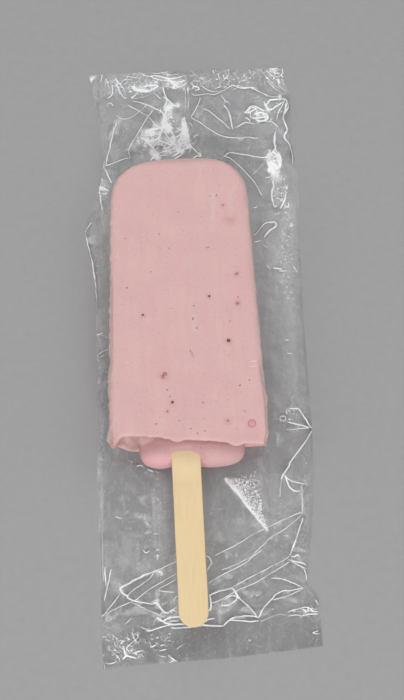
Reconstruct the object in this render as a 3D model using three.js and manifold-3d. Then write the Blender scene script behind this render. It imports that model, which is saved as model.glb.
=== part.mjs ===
// An ice pop lying on the clear film bag that it came in.
//
// The pop is a bar of pink fruit cream, moulded round a flat wooden stick. It lies on its back on the
// emptied bag, front face up, with its tip towards +Y and its stick towards -Y.
// Millimetres, +Z up. The origin is the middle of the underside of the bag.

import * as THREE from 'three';
import { mergeVertices } from 'three/addons/utils/BufferGeometryUtils.js';
import Module from 'manifold-3d';

const { lerp, smoothstep } = THREE.MathUtils;

// ---------- driving dimensions ----------

const CLEARANCE = 0.3; // kept between pieces that touch

// The bar, in its own frame: x across, y from the mean line of its open end to its tip, z from its back.
const BAR = {
  length: 103.3,
  baseWidth: 53,
  tipWidth: 47.7,
  baseThickness: 25,
  tipThickness: 20,
  edgeRadius: 3, // the long edges
  tipEdgeRadius: 4, // the tip's front and back edges
  tipCrownX: 1.8, // the highest point of the tip, off the centre line
  tipDepthLeft: 19, // how far down each side the tip's rounding reaches
  tipDepthRight: 15,
  tipFullness: 2.6, // exponent of the tip's outline: 2 is an ellipse, more is squarer
};

// The right side swells a little near the open end.
const SWELLING = { reach: 0.6, from: 24, to: 15 };

// The open end, where the mould was filled: a ragged lip round a shallow trough.
const LIP = {
  slope: -0.114, // the front edge runs out towards +X
  backEdge: 1.1, // the back edge stays this far inside the mean line
  wall: 0.6,
  troughDepth: 3.4,
  troughWidth: 4.4, // from the wall to the trough's full depth
};

// What breaks the front edge of the lip: two frozen drips and the dent over the hollow.
const LIP_MARKS = [
  { x: -3.8, reach: 1.7, halfWidth: 2.0 },
  { x: 14.9, reach: 1.6, halfWidth: 2.6 },
  { x: -20.5, reach: -1.0, halfWidth: 4.0 },
];

// An oval hollow in the open end, left of the bulge.
const HOLLOW = { x: -20.9, z: 12.5, halfWidth: 4.4, halfHeight: 10.2, depth: 4.5 };

// The cream that swelled out of the open end as it froze: a pillow with a valley where the stick comes out.
const BULGE = {
  x: 0.6,
  y: 3,
  z: 7.2,
  halfWidth: 18.2,
  reach: 9.6,
  up: 10.4,
  down: 6.2,
  cornerFullness: 4.5, // exponent of its outline from the front
  pillowFullness: 2.3, // exponent of its outline from the side
  valleyX: -2.4,
  valleyHalfWidth: 6.4,
  valleyDepth: 0.3, // share of its height that the valley takes away
  notch: 0.12, // share of its reach that the valley takes away
};

const STICK = {
  length: 114,
  width: 10,
  thickness: 2,
  easedEdge: 0.3,
  x: -1.2, // off the bar's centre line
  reach: 59.8, // from the mean line of the open end to the stick's outer end
};

// Where the pop lies on the bag.
const POP_X = -4.5;
const POP_Y = -38.35;

// The bag: an emptied tube of clear film, crimped shut at both ends.
const BAG = {
  thickness: 0.5, // two layers of film and what air is left between them
  crimpTop: 98,
  crimpBottom: -96.5,
  leftEdge: -36.2, // where the tube's side folds crest
  rightEdge: 37.6,
  sideFoldHeight: 1.7,
  sideFoldWidth: 6,
  foldSpread: 7.5, // how far a fold's slopes reach to each side
  flatBesidePop: 0.8, // the film lies flat this close to the pop
  flatteningWidth: 6, // over which the folds die out towards the pop and the crimps
};

// Corners and soft points of the bag's outline, seen from above.
const BAG_TOP = [[-36.8, 109], [36.9, 108]];
const BAG_RIGHT_UPPER = [[36.9, 102.2], [38.4, 95.5], [38.5, 75.1], [39.6, 58.3]];
const BAG_RIGHT_LOWER = [[38.1, 15], [38.1, -31.2], [36.5, -60.2], [32.8, -84]];
const BAG_BOTTOM = [[36.7, -90.2], [36.6, -105.7], [4.1, -107.4], [-23.7, -107.8], [-37.1, -109]];
const BAG_LEFT_LOWER = [[-37.3, -92.8], [-36.4, -56], [-35.9, 19], [-39.6, 46.3]];
const BAG_LEFT_UPPER = [[-32.4, 71.3], [-36.1, 104.8]];

// The folds that stand up from the film: start, end and height at the middle of each.
const FOLDS = [
  { from: [-32, 72], to: [-26, 89], height: 4 },
  { from: [-23, 74], to: [-13, 93], height: 3.5 },
  { from: [-21, 98], to: [-10, 85], height: 3 },
  { from: [-9, 100], to: [-5, 80], height: 2.5 },
  { from: [5, 97], to: [1, 88], height: 2.5 },
  { from: [1, 88], to: [13, 80], height: 3.5 },
  { from: [13, 80], to: [31, 84], height: 3.5 },
  { from: [26, 97], to: [32, 82], height: 4 },
  { from: [33, 83], to: [27, 70], height: 3.5 },
  { from: [12, 73], to: [27, 70], height: 2.5 },
  { from: [36, 60], to: [31, 49], height: 2.5 },
  { from: [30, -24], to: [37, -31], height: 2.5 },
  { from: [37, -32], to: [25, -56], height: 3 },
  { from: [33, -56], to: [28, -77], height: 3 },
  { from: [2, -74], to: [32, -61], height: 3 },
  { from: [0, -87], to: [29, -72], height: 3 },
  { from: [9, -72], to: [32, -86], height: 2 },
  { from: [-11, -76], to: [-30, -83], height: 3.5 },
  { from: [-12, -80], to: [-35, -92], height: 3 },
  { from: [-39, 46], to: [-36, 19], height: 2 },
];

// How finely the surfaces are split.
const SIDE_STEPS = 4; // from the middle of the bar's side to its rounded edge
const CORNER_STEPS = 4; // round that edge
const FACE_STEPS = 9; // from the edge to the middle of the face
const QUARTER_STEPS = SIDE_STEPS + CORNER_STEPS + FACE_STEPS;
const TIP_ROWS = 9;
const TIP_ROW_BUNCHING = 2.3; // exponent that draws the rows together at the tip
const SIDE_ROWS = 10;
const END_ROWS = 12;
const END_ROW_BUNCHING = 1.25; // the same towards the rim of the open end
const BULGE_COLUMNS = 44;
const BULGE_ROWS = 22;
const BAG_CELL = 2.8;
const BAG_OUTLINE_STEPS = 2;
const BAG_BLANK_DEPTH = 20; // of the extruded outline, deeper than any fold is high
const STICK_END_STEPS = 14;

// ---------- closed meshes and solids ----------

const wasm = await Module();
wasm.setup();

/** The same surface with its vertices shared, as a closed mesh has them. */
function closedSurface(geometry) {
  const bare = geometry.clone();
  bare.deleteAttribute('normal');
  bare.deleteAttribute('uv');
  return mergeVertices(bare, 1e-4);
}

function toSolid(geometry) {
  const surface = closedSurface(geometry);
  return new wasm.Manifold(
    new wasm.Mesh({
      numProp: 3,
      vertProperties: new Float32Array(surface.attributes.position.array),
      triVerts: new Uint32Array(surface.index.array),
    }),
  );
}

function toGeometry(solid) {
  const { vertProperties, triVerts } = solid.getMesh();
  const geometry = new THREE.BufferGeometry();
  geometry.setAttribute('position', new THREE.BufferAttribute(vertProperties, 3));
  geometry.setIndex(new THREE.BufferAttribute(triVerts, 1));
  geometry.computeVertexNormals();
  return geometry;
}

function namedMesh(name, geometry, material) {
  const mesh = new THREE.Mesh(geometry, material);
  mesh.name = name;
  return mesh;
}

// ---------- the bar ----------

/** Half the bar's width on one side (-1 left, 1 right) at y, before the tip's rounding. */
function straightHalfWidth(side, y) {
  const taper = lerp(BAR.baseWidth, BAR.tipWidth, y / BAR.length) / 2;
  const swelling = SWELLING.reach * (1 - smoothstep(y, SWELLING.to, SWELLING.from));
  return side > 0 ? taper + swelling : taper;
}

/** How far the bar reaches to one side, measured from the tip's crown, at a depth below the tip. */
function reachFromCrown(side, depth) {
  const roundingDepth = side > 0 ? BAR.tipDepthRight : BAR.tipDepthLeft;
  const full = straightHalfWidth(side, BAR.length - depth) - side * BAR.tipCrownX;
  const above = Math.max(0, 1 - depth / roundingDepth);
  return full * (1 - above ** BAR.tipFullness) ** (1 / BAR.tipFullness);
}

function barThickness(y) {
  return lerp(BAR.baseThickness, BAR.tipThickness, y / BAR.length);
}

/** A point of a rounded rectangle round the origin. The steps run from -X through +Z and +X. */
function roundedRectanglePoint(step, halfWidth, halfHeight, radius) {
  const quarter = Math.floor(step / QUARTER_STEPS) % 4;
  const walked = step % QUARTER_STEPS;
  const fromSide = quarter % 2 === 0 ? walked : QUARTER_STEPS - walked;
  let across = halfWidth;
  let up = halfHeight;
  if (fromSide < SIDE_STEPS) {
    up = (halfHeight - radius) * (fromSide / SIDE_STEPS);
  } else if (fromSide < SIDE_STEPS + CORNER_STEPS) {
    const angle = ((fromSide - SIDE_STEPS) / CORNER_STEPS) * (Math.PI / 2);
    across += radius * (Math.cos(angle) - 1);
    up += radius * (Math.sin(angle) - 1);
  } else {
    across = (halfWidth - radius) * ((QUARTER_STEPS - fromSide) / FACE_STEPS);
  }
  const toLeft = quarter === 0 || quarter === 3;
  return new THREE.Vector2(toLeft ? -across : across, quarter < 2 ? up : -up);
}

/** The bar's cross-section at a depth below the tip: its centre and the offset of one step round it. */
function barSection(step, depth) {
  const left = reachFromCrown(-1, depth);
  const right = reachFromCrown(1, depth);
  const fullThickness = barThickness(BAR.length - depth);
  const edge = BAR.tipEdgeRadius;
  const edgeDepth = Math.max(0, edge - depth);
  const halfHeight = fullThickness / 2 - edge + Math.sqrt(edge ** 2 - edgeDepth ** 2);
  const halfWidth = (left + right) / 2;
  const radius = Math.min(BAR.edgeRadius, halfWidth / 2);
  return {
    centre: new THREE.Vector2(BAR.tipCrownX + (right - left) / 2, fullThickness / 2),
    offset: roundedRectanglePoint(step, halfWidth, halfHeight, radius),
  };
}

/** Where the rim of the open end lies along y. */
function rimLine(x, z) {
  const forward = z / BAR.baseThickness;
  const marks = LIP_MARKS.reduce(
    (sum, mark) => sum - mark.reach * Math.exp(-(((x - mark.x) / mark.halfWidth) ** 2)),
    0,
  );
  return lerp(LIP.backEdge, LIP.slope * x, forward) + marks * forward ** 4;
}

/** How far the hollow sinks into the open end. */
function hollowDepth(x, z) {
  const across = ((x - HOLLOW.x) / HOLLOW.halfWidth) ** 2;
  const up = ((z - HOLLOW.z) / HOLLOW.halfHeight) ** 2;
  return HOLLOW.depth * Math.sqrt(Math.max(0, 1 - across - up));
}

/** The open end's surface along y. */
function endSurface(x, z) {
  const halfWidth = straightHalfWidth(Math.sign(x), 0);
  const fromSide = halfWidth - Math.abs(x);
  const fromFace = Math.min(z, BAR.baseThickness - z);
  const inside = Math.min(fromSide, fromFace);
  const trough = LIP.troughDepth * smoothstep(inside, LIP.wall, LIP.wall + LIP.troughWidth);
  return rimLine(x, z) + trough + hollowDepth(x, z);
}

/** A point of the bar. Rows run from the tip to the rim, then inwards over the open end. */
function barPoint(step, row) {
  const rimRow = TIP_ROWS + SIDE_ROWS;
  if (row <= rimRow) {
    const tipDepth = BAR.tipDepthLeft;
    const depth =
      row < TIP_ROWS
        ? tipDepth * (row / TIP_ROWS) ** TIP_ROW_BUNCHING
        : lerp(tipDepth, BAR.length, (row - TIP_ROWS) / SIDE_ROWS);
    const { centre, offset } = barSection(step, depth);
    const x = centre.x + (row === 0 ? 0 : offset.x);
    const z = centre.y + (row === 0 ? 0 : offset.y);
    return new THREE.Vector3(x, lerp(BAR.length, rimLine(x, z), depth / BAR.length), z);
  }
  const { centre, offset } = barSection(step, BAR.length);
  const shrink = 1 - ((row - rimRow) / END_ROWS) ** END_ROW_BUNCHING;
  const x = centre.x + offset.x * shrink;
  const z = centre.y + offset.y * shrink;
  return new THREE.Vector3(x, endSurface(x, z), z);
}

/** The bar without the slot for its stick: a sphere whose rows and columns are moved onto the bar. */
function barGeometry() {
  const columns = 4 * QUARTER_STEPS;
  const rows = TIP_ROWS + SIDE_ROWS + END_ROWS;
  const geometry = new THREE.SphereGeometry(1, columns, rows);
  for (let row = 0; row <= rows; row++) {
    for (let column = 0; column <= columns; column++) {
      const point = barPoint(column % columns, row);
      geometry.attributes.position.setXYZ(row * (columns + 1) + column, point.x, point.y, point.z);
    }
  }
  return geometry;
}

/** The pillow of cream at the open end: a sphere filled out to a rounded box, with the valley pressed in. */
function bulgeGeometry() {
  const geometry = new THREE.SphereGeometry(1, BULGE_COLUMNS, BULGE_ROWS);
  const { position } = geometry.attributes;
  const point = new THREE.Vector3();
  for (let i = 0; i < position.count; i++) {
    point.fromBufferAttribute(position, i);
    const outline = Math.abs(point.x) ** BULGE.cornerFullness + Math.abs(point.y) ** BULGE.cornerFullness;
    const pillow =
      outline ** (BULGE.pillowFullness / BULGE.cornerFullness) + Math.abs(point.z) ** BULGE.pillowFullness;
    point.divideScalar(pillow ** (1 / BULGE.pillowFullness));
    point.x *= BULGE.halfWidth;
    const fromValley = (point.x + BULGE.x - BULGE.valleyX) / BULGE.valleyHalfWidth;
    const valley = Math.exp(-(fromValley ** 4));
    point.y *= BULGE.reach * (1 - BULGE.notch * valley);
    point.z *= point.z > 0 ? BULGE.up * (1 - BULGE.valleyDepth * valley) : BULGE.down;
    position.setXYZ(i, point.x, point.y, point.z);
  }
  return geometry.translate(BULGE.x, BULGE.y, BULGE.z);
}

// ---------- the stick ----------

/** A flat stick with round ends, centred on the origin, its length along y. */
function stickGeometry(length, width, thickness, easedEdge) {
  const radius = width / 2 - easedEdge;
  const straight = length / 2 - width / 2;
  const outline = new THREE.Shape();
  outline.absarc(0, straight, radius, 0, Math.PI);
  outline.absarc(0, -straight, radius, Math.PI, 2 * Math.PI);
  const geometry = new THREE.ExtrudeGeometry(outline, {
    depth: thickness - 2 * easedEdge,
    curveSegments: STICK_END_STEPS,
    bevelEnabled: easedEdge > 0,
    bevelThickness: easedEdge,
    bevelSize: easedEdge,
    bevelSegments: 1,
  });
  return geometry.translate(0, 0, easedEdge - thickness / 2);
}

/** Lays the stick along the plane halfway through the bar, which slopes as the bar thins to its tip. */
function placeStick(object) {
  const slope = (BAR.tipThickness - BAR.baseThickness) / 2 / BAR.length;
  const middleY = STICK.length / 2 - STICK.reach;
  object.rotation.x = Math.atan(slope);
  object.position.set(STICK.x, middleY, BAR.baseThickness / 2 + slope * middleY);
  object.updateMatrix();
  return object;
}

function iceBodyGeometry() {
  const slot = stickGeometry(
    STICK.length + 2 * CLEARANCE,
    STICK.width + 2 * CLEARANCE,
    STICK.thickness + 2 * CLEARANCE,
    0,
  );
  slot.applyMatrix4(placeStick(new THREE.Object3D()).matrix);
  return toGeometry(toSolid(barGeometry()).add(toSolid(bulgeGeometry())).subtract(toSolid(slot)));
}

// ---------- the bag ----------

function bagOutline() {
  const toVectors = (points) => points.map(([x, y]) => new THREE.Vector2(x, y));
  const outline = new THREE.Shape(toVectors(BAG_TOP));
  outline.lineTo(...BAG_RIGHT_UPPER[0]);
  outline.splineThru(toVectors(BAG_RIGHT_UPPER.slice(1)));
  outline.splineThru(toVectors(BAG_RIGHT_LOWER));
  for (const corner of BAG_BOTTOM) {
    outline.lineTo(...corner);
  }
  outline.splineThru(toVectors(BAG_LEFT_LOWER));
  outline.splineThru(toVectors(BAG_LEFT_UPPER));
  return outline;
}

/** How far a point lies outside the pop's footprint. */
function distanceFromPop(x, y) {
  const halfWidth = BAR.baseWidth / 2;
  const top = BAR.length;
  const bottom = BULGE.y - BULGE.reach - 1;
  const cornerRadius = y - POP_Y > top / 2 ? BAR.tipDepthRight - 2 : 1;
  const across = Math.abs(x - POP_X) - halfWidth + cornerRadius;
  const along = Math.abs(y - POP_Y - (top + bottom) / 2) - (top - bottom) / 2 + cornerRadius;
  const outside = Math.hypot(Math.max(across, 0), Math.max(along, 0));
  return outside + Math.min(Math.max(across, along), 0) - cornerRadius;
}

/** The height of one fold over a point, lower towards the fold's ends. */
function foldHeight(fold, point) {
  const line = new THREE.Line3(new THREE.Vector3(...fold.from, 0), new THREE.Vector3(...fold.to, 0));
  const along = line.closestPointToPointParameter(point, true);
  const distance = line.at(along, new THREE.Vector3()).distanceTo(point);
  const taper = Math.sqrt(Math.sin(Math.PI * lerp(0.12, 0.88, along)));
  const slope = (1 + Math.cos(Math.PI * Math.min(1, distance / BAG.foldSpread))) / 2;
  return fold.height * taper * slope;
}

/** The height of the film's upper side. */
function filmHeight(x, y) {
  const point = new THREE.Vector3(x, y, 0);
  const folds = Math.max(...FOLDS.map((fold) => foldHeight(fold, point)));
  const fromEdge = Math.min(BAG.rightEdge - x, x - BAG.leftEdge);
  const sideFoldShape = smoothstep(fromEdge, -2, 1) * (1 - smoothstep(fromEdge, 1, BAG.sideFoldWidth));
  const fade = BAG.flatteningWidth;
  const offCrimps = smoothstep(BAG.crimpTop - y, 0, fade) * smoothstep(y - BAG.crimpBottom, 0, fade);
  const offPop = smoothstep(distanceFromPop(x, y), BAG.flatBesidePop, fade);
  const relief = Math.max(folds, BAG.sideFoldHeight * sideFoldShape);
  return BAG.thickness + relief * offCrimps * offPop;
}

function bagGeometry() {
  const outline = bagOutline();
  const sheet = new THREE.ExtrudeGeometry(outline, {
    depth: BAG_BLANK_DEPTH,
    curveSegments: BAG_OUTLINE_STEPS,
    bevelEnabled: false,
  });
  const { min, max } = new THREE.Box2().setFromPoints(outline.getPoints(BAG_OUTLINE_STEPS));
  const width = max.x - min.x + 2;
  const length = max.y - min.y + 2;
  const relief = new THREE.BoxGeometry(
    width,
    length,
    2,
    Math.round(width / BAG_CELL),
    Math.round(length / BAG_CELL),
    1,
  );
  const { position } = relief.attributes;
  for (let i = 0; i < position.count; i++) {
    if (position.getZ(i) > 0) {
      position.setZ(i, filmHeight(position.getX(i), position.getY(i)));
    }
  }
  return toGeometry(toSolid(relief).intersect(toSolid(sheet)));
}

// ---------- the whole ----------

const frozenCream = new THREE.MeshStandardMaterial({ color: '#d9b1b0', roughness: 0.6, metalness: 0 });
const birchWood = new THREE.MeshStandardMaterial({ color: '#e7cca3', roughness: 0.65, metalness: 0 });
const clearFilm = new THREE.MeshStandardMaterial({
  color: '#dfe3e4',
  roughness: 0.12,
  metalness: 0,
  transparent: true,
  opacity: 0.25,
});

const pop = new THREE.Group();
pop.add(namedMesh('ice_body', iceBodyGeometry(), frozenCream));
pop.add(placeStick(namedMesh(
  'stick',
  stickGeometry(STICK.length, STICK.width, STICK.thickness, STICK.easedEdge),
  birchWood,
)));
pop.position.set(POP_X, POP_Y, BAG.thickness + CLEARANCE);

const icePop = new THREE.Group();
icePop.add(namedMesh('wrapper', bagGeometry(), clearFilm));
icePop.add(pop);

export default icePop;
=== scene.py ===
"""Dresses the ice pop: the frozen cream and its flecks, the stick, and the clear bag under them."""
import itertools
import math

import bpy
import numpy as np
from mathutils import Matrix, Vector
from mathutils.bvhtree import BVHTree
from mathutils.geometry import delaunay_2d_cdt


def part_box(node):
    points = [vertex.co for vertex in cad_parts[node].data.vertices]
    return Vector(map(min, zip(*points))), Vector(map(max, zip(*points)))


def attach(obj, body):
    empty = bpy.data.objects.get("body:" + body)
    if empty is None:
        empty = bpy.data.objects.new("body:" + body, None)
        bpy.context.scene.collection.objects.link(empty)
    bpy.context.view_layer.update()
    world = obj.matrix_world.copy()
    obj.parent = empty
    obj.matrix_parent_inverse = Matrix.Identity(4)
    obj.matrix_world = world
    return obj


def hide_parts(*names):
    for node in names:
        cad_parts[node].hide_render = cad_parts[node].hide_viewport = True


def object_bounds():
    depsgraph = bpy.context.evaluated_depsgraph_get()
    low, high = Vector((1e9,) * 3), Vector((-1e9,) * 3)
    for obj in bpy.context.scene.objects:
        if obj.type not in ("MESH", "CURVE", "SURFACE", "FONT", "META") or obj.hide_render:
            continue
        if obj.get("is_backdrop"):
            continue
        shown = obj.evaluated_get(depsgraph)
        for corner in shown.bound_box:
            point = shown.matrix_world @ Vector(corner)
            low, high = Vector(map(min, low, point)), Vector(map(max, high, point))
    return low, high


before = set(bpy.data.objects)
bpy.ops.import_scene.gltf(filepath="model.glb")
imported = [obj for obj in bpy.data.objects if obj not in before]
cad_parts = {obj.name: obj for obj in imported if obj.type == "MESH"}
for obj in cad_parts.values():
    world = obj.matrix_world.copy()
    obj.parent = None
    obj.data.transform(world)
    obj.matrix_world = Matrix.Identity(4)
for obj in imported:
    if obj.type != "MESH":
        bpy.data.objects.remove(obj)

CAD_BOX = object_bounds()
MM = 0.001

# ---------- driving dimensions, in millimetres, as the solids have them ----------

BAR_LENGTH = 103.3
BASE_WIDTH, TIP_WIDTH = 53, 47.7
BASE_THICKNESS, TIP_THICKNESS = 25, 20
LEFT_EDGE_RADIUS, RIGHT_EDGE_RADIUS = 2.0, 2.6
TIP_EDGE_RADIUS = 4
TIP_CROWN_X = 1.8
TIP_DEPTH = {-1: 18, 1: 17}  # how far down the left and the right side the tip's rounding reaches
TIP_FULLNESS = 2.6
SWELLING_REACH, SWELLING_FROM, SWELLING_TO = 0.6, 24, 15

LIP_SLOPE = -0.114
LIP_BACK_EDGE = 1.1
LIP_WALL, TROUGH_DEPTH, TROUGH_WIDTH = 0.6, 3.2, 5.0
LIP_MARKS = [(-4.0, 1.0, 1.9), (15.1, 1.2, 2.2)]  # x, reach and half width of each knob on the lip
CORNER_LUMP = (-26.0, 3.7, 3.0)  # the same of the rounded lump at the left corner
LIP_MARK_BLUNTNESS = 3.5
LEFT_CORNER_INSET = 0.8
RIGHT_CORNER_INSET = 1.5
LEFT_CORNER_RISE = 2.2  # how much shorter the back of the open end is at its left corner
HOLLOW_X, HOLLOW_Z = -20.8, 12.0
HOLLOW_HALF_WIDTH, HOLLOW_HALF_HEIGHT, HOLLOW_DEPTH = 3.7, 10.6, 2.6

BULGE_CENTRE = (0.6, 3, 7.2)
BULGE_HALF_WIDTH, BULGE_REACH, BULGE_UP, BULGE_DOWN = 18.2, 9.5, 8.4, 6.2
BULGE_CORNERS, BULGE_PILLOW = 4.2, 2.7
VALLEY_X, VALLEY_HALF_WIDTH, VALLEY_DEPTH, VALLEY_NOTCH = -2.4, 6.4, 0.19, 0.1

STICK_LENGTH, STICK_WIDTH, STICK_THICKNESS = 114, 10, 2
STICK_X, STICK_REACH = -1.2, 59.8
STICK_EASED_EDGE = 0.35
# A trace out of line: the stick's turn in degrees, and how far its middle lies to the left.
STICK_TURN, STICK_ASIDE = 0.35, 0.43

# The photograph's camera.
IMAGE_WIDTH, IMAGE_HEIGHT, FOCAL_PIXELS = 404, 700, 1200
CAMERA_PLACE = Vector((1.0, -109.55, 414.4))
CAMERA_TILT, CAMERA_ROLL = 14.64, -2.76
CAMERA_TILTED = Matrix.Rotation(math.radians(CAMERA_TILT), 3, "X")
CAMERA_TURN = CAMERA_TILTED @ Matrix.Rotation(math.radians(CAMERA_ROLL), 3, "Z")

# Where the pop's own frame lies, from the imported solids.
ICE_LOW = np.array(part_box("ice_body")[0]) / MM
STICK_LOW, STICK_HIGH = (np.array(corner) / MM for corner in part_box("stick"))
POP = np.array([
    (STICK_LOW[0] + STICK_HIGH[0]) / 2 - STICK_X,
    STICK_LOW[1] + STICK_REACH,
    ICE_LOW[2],
])

# ---------- numbers ----------

# Large factors that stir a cell's numbers and a seed into a number that looks random.
CELL_FACTORS, SEED_FACTOR, STIR_FACTOR = (73856093, 19349663, 83492791), 2654435761, 1274126177


def lerp(start, end, share):
    return start + (end - start) * share


def smoothstep(value, start, end):
    """0 up to start, 1 from end on, and an even rise between them."""
    share = np.clip((value - start) / (end - start), 0, 1)
    return share * share * (3 - 2 * share)


def fall(value, start, end):
    """1 up to start, 0 from end on, and an even fall between them."""
    return 1 - smoothstep(value, start, end)


def bell(value, width):
    """1 where value is 0, falling to about a third at a distance of width."""
    return np.exp(-((value / width) ** 2))


def lattice_value(cells, seed):
    """A fixed number in -1..1 for each cell of a lattice."""
    stirred = np.bitwise_xor.reduce(cells * CELL_FACTORS, axis=1) ^ (seed + 1) * SEED_FACTOR
    stirred = (stirred ^ (stirred >> 13)) * STIR_FACTOR
    return ((stirred >> 7) & 0xFFFF) / 0x7FFF - 1


def noise(points, size, seed=0):
    """Smooth noise in -1..1 whose features are about size across. size may differ along x, y and z."""
    cells = points / np.asarray(size, dtype=float)
    low = np.floor(cells).astype(np.int64)
    part = cells - low
    part = part * part * (3 - 2 * part)
    total = np.zeros(len(points))
    for corner in itertools.product((0, 1), repeat=3):
        weight = np.prod(np.where(corner, part, 1 - part), axis=1)
        total += weight * lattice_value(low + np.array(corner), seed)
    return total


# Every kind of unevenness: its strength, the size of its features and its seed.
UNEVENNESS = {
    "waves": (0.07, 11, 1),
    "dimples": (0.045, 3.5, 2),
    "face streaks": (0.035, (1.1, 26, 9), 3),
    "flash": (0.5, (9, 1.9, 3), 4),
    "upper left": (0.22, (9, 1.6, 2), 5),
    "left layers": (0.16, (5, 1.0, 1.4), 12),
    "lower right": (0.3, (9, 1.7, 1.5), 6),
    "upper right": (0.14, (9, 2.4, 2), 7),
    "side grain": (0.1, 0.9, 15),
    "lip tears": (0.18, (1.9, 9, 3), 8),
    "lip crumbs": (0.2, (0.7, 9, 2), 9),
    "speckles": (0.5, 1.1, 10),
    "rim frost": (0.5, 0.9, 13),
    "tip frost": (1, (1.6, 3, 3), 14),
    "scrape frost": (0.3, (0.8, 1.6, 3), 17),
    "stick sides": (0.07, 9, 20),
    "wood grain": (0.012, (0.7, 14, 9), 21),
    "bag edge": (0.15, 2.6, 30),
    "crease wobble across": (0.12, 1.6, 31),
    "crease wobble along": (0.12, 1.6, 32),
    "folds": (1.1, (7, 34, 1), 33),
    "buckles": (0.35, 3.2, 34),
    "ripples": (0.05, 1.3, 35),
    "breaks": (0.45, (1.9, 1, 1), 36),
    "gleam": (0.4, (1.2, 2.4, 1), 37),
    "shade": (0.3, (2.5, 6, 1), 38),
}


def uneven(points, kind):
    """Noise of one of the kinds above."""
    strength, size, seed = UNEVENNESS[kind]
    return strength * noise(points, size, seed)


def at_level(x, y, z=0.0):
    """Points over the places x and y, all at one level, as noise takes them."""
    return np.column_stack([x, y, np.full(len(x), z)])


# ---------- meshes ----------


def mesh_object(name, points, faces, place=(0, 0, 0)):
    """An object at the origin whose vertices are points, in millimetres, moved to place."""
    mesh = bpy.data.meshes.new(name)
    mesh.from_pydata((np.asarray(points) + np.asarray(place)) * MM, [], faces)
    mesh.update()
    made = bpy.data.objects.new(name, mesh)
    bpy.context.scene.collection.objects.link(made)
    return made


def vertex_array(items, field):
    """A row of three numbers for each vertex."""
    values = np.empty(len(items) * 3, dtype=np.float32)
    items.foreach_get(field, values)
    return values.reshape(-1, 3).astype(float)


def set_vertices(mesh, points):
    mesh.vertices.foreach_set("co", (points * MM).astype(np.float32).ravel())
    mesh.update()


def set_attribute(mesh, name, values):
    layer = mesh.attributes.new(name, "FLOAT", "POINT")
    layer.data.foreach_set("value", np.asarray(values, dtype=np.float32))


def band_faces(low, columns):
    """The faces between a ring of points that starts at number low and the ring after it."""
    afters = [(column + 1) % columns for column in range(columns)]
    high = low + columns
    return [(low + here, low + after, high + after, high + here) for here, after in enumerate(afters)]


def tube_faces(rings, columns):
    """Faces of a closed surface: a pole, rings of columns points each, and a second pole."""
    last = 1 + rings * columns
    end = last - columns
    faces = []
    for column in range(columns):
        after = (column + 1) % columns
        faces.append((0, 1 + after, 1 + column))
        faces.append((last, end + column, end + after))
    for ring in range(rings - 1):
        faces += band_faces(1 + ring * columns, columns)
    return faces


def joined(shells):
    """The points and the faces of several shells as one mesh."""
    points, faces = [], []
    for shell, shell_faces in shells:
        start = sum(map(len, points))
        points.append(shell)
        faces += [tuple(start + corner for corner in face) for face in shell_faces]
    return np.concatenate(points), faces


def apply_modifiers(made):
    """Gives the object the mesh that its modifiers make of it, and takes them away."""
    mesh = bpy.data.meshes.new_from_object(made.evaluated_get(bpy.context.evaluated_depsgraph_get()))
    made.modifiers.clear()
    made.data = mesh


def finished(made, material, sharp_angle=None):
    """The object in its material, smooth but for edges sharper than the angle, in degrees."""
    made.data.shade_smooth()
    if sharp_angle is not None:
        made.data.set_sharp_from_angle(angle=math.radians(sharp_angle))
    made.data.materials.append(material)
    return made


# ---------- materials ----------


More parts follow.
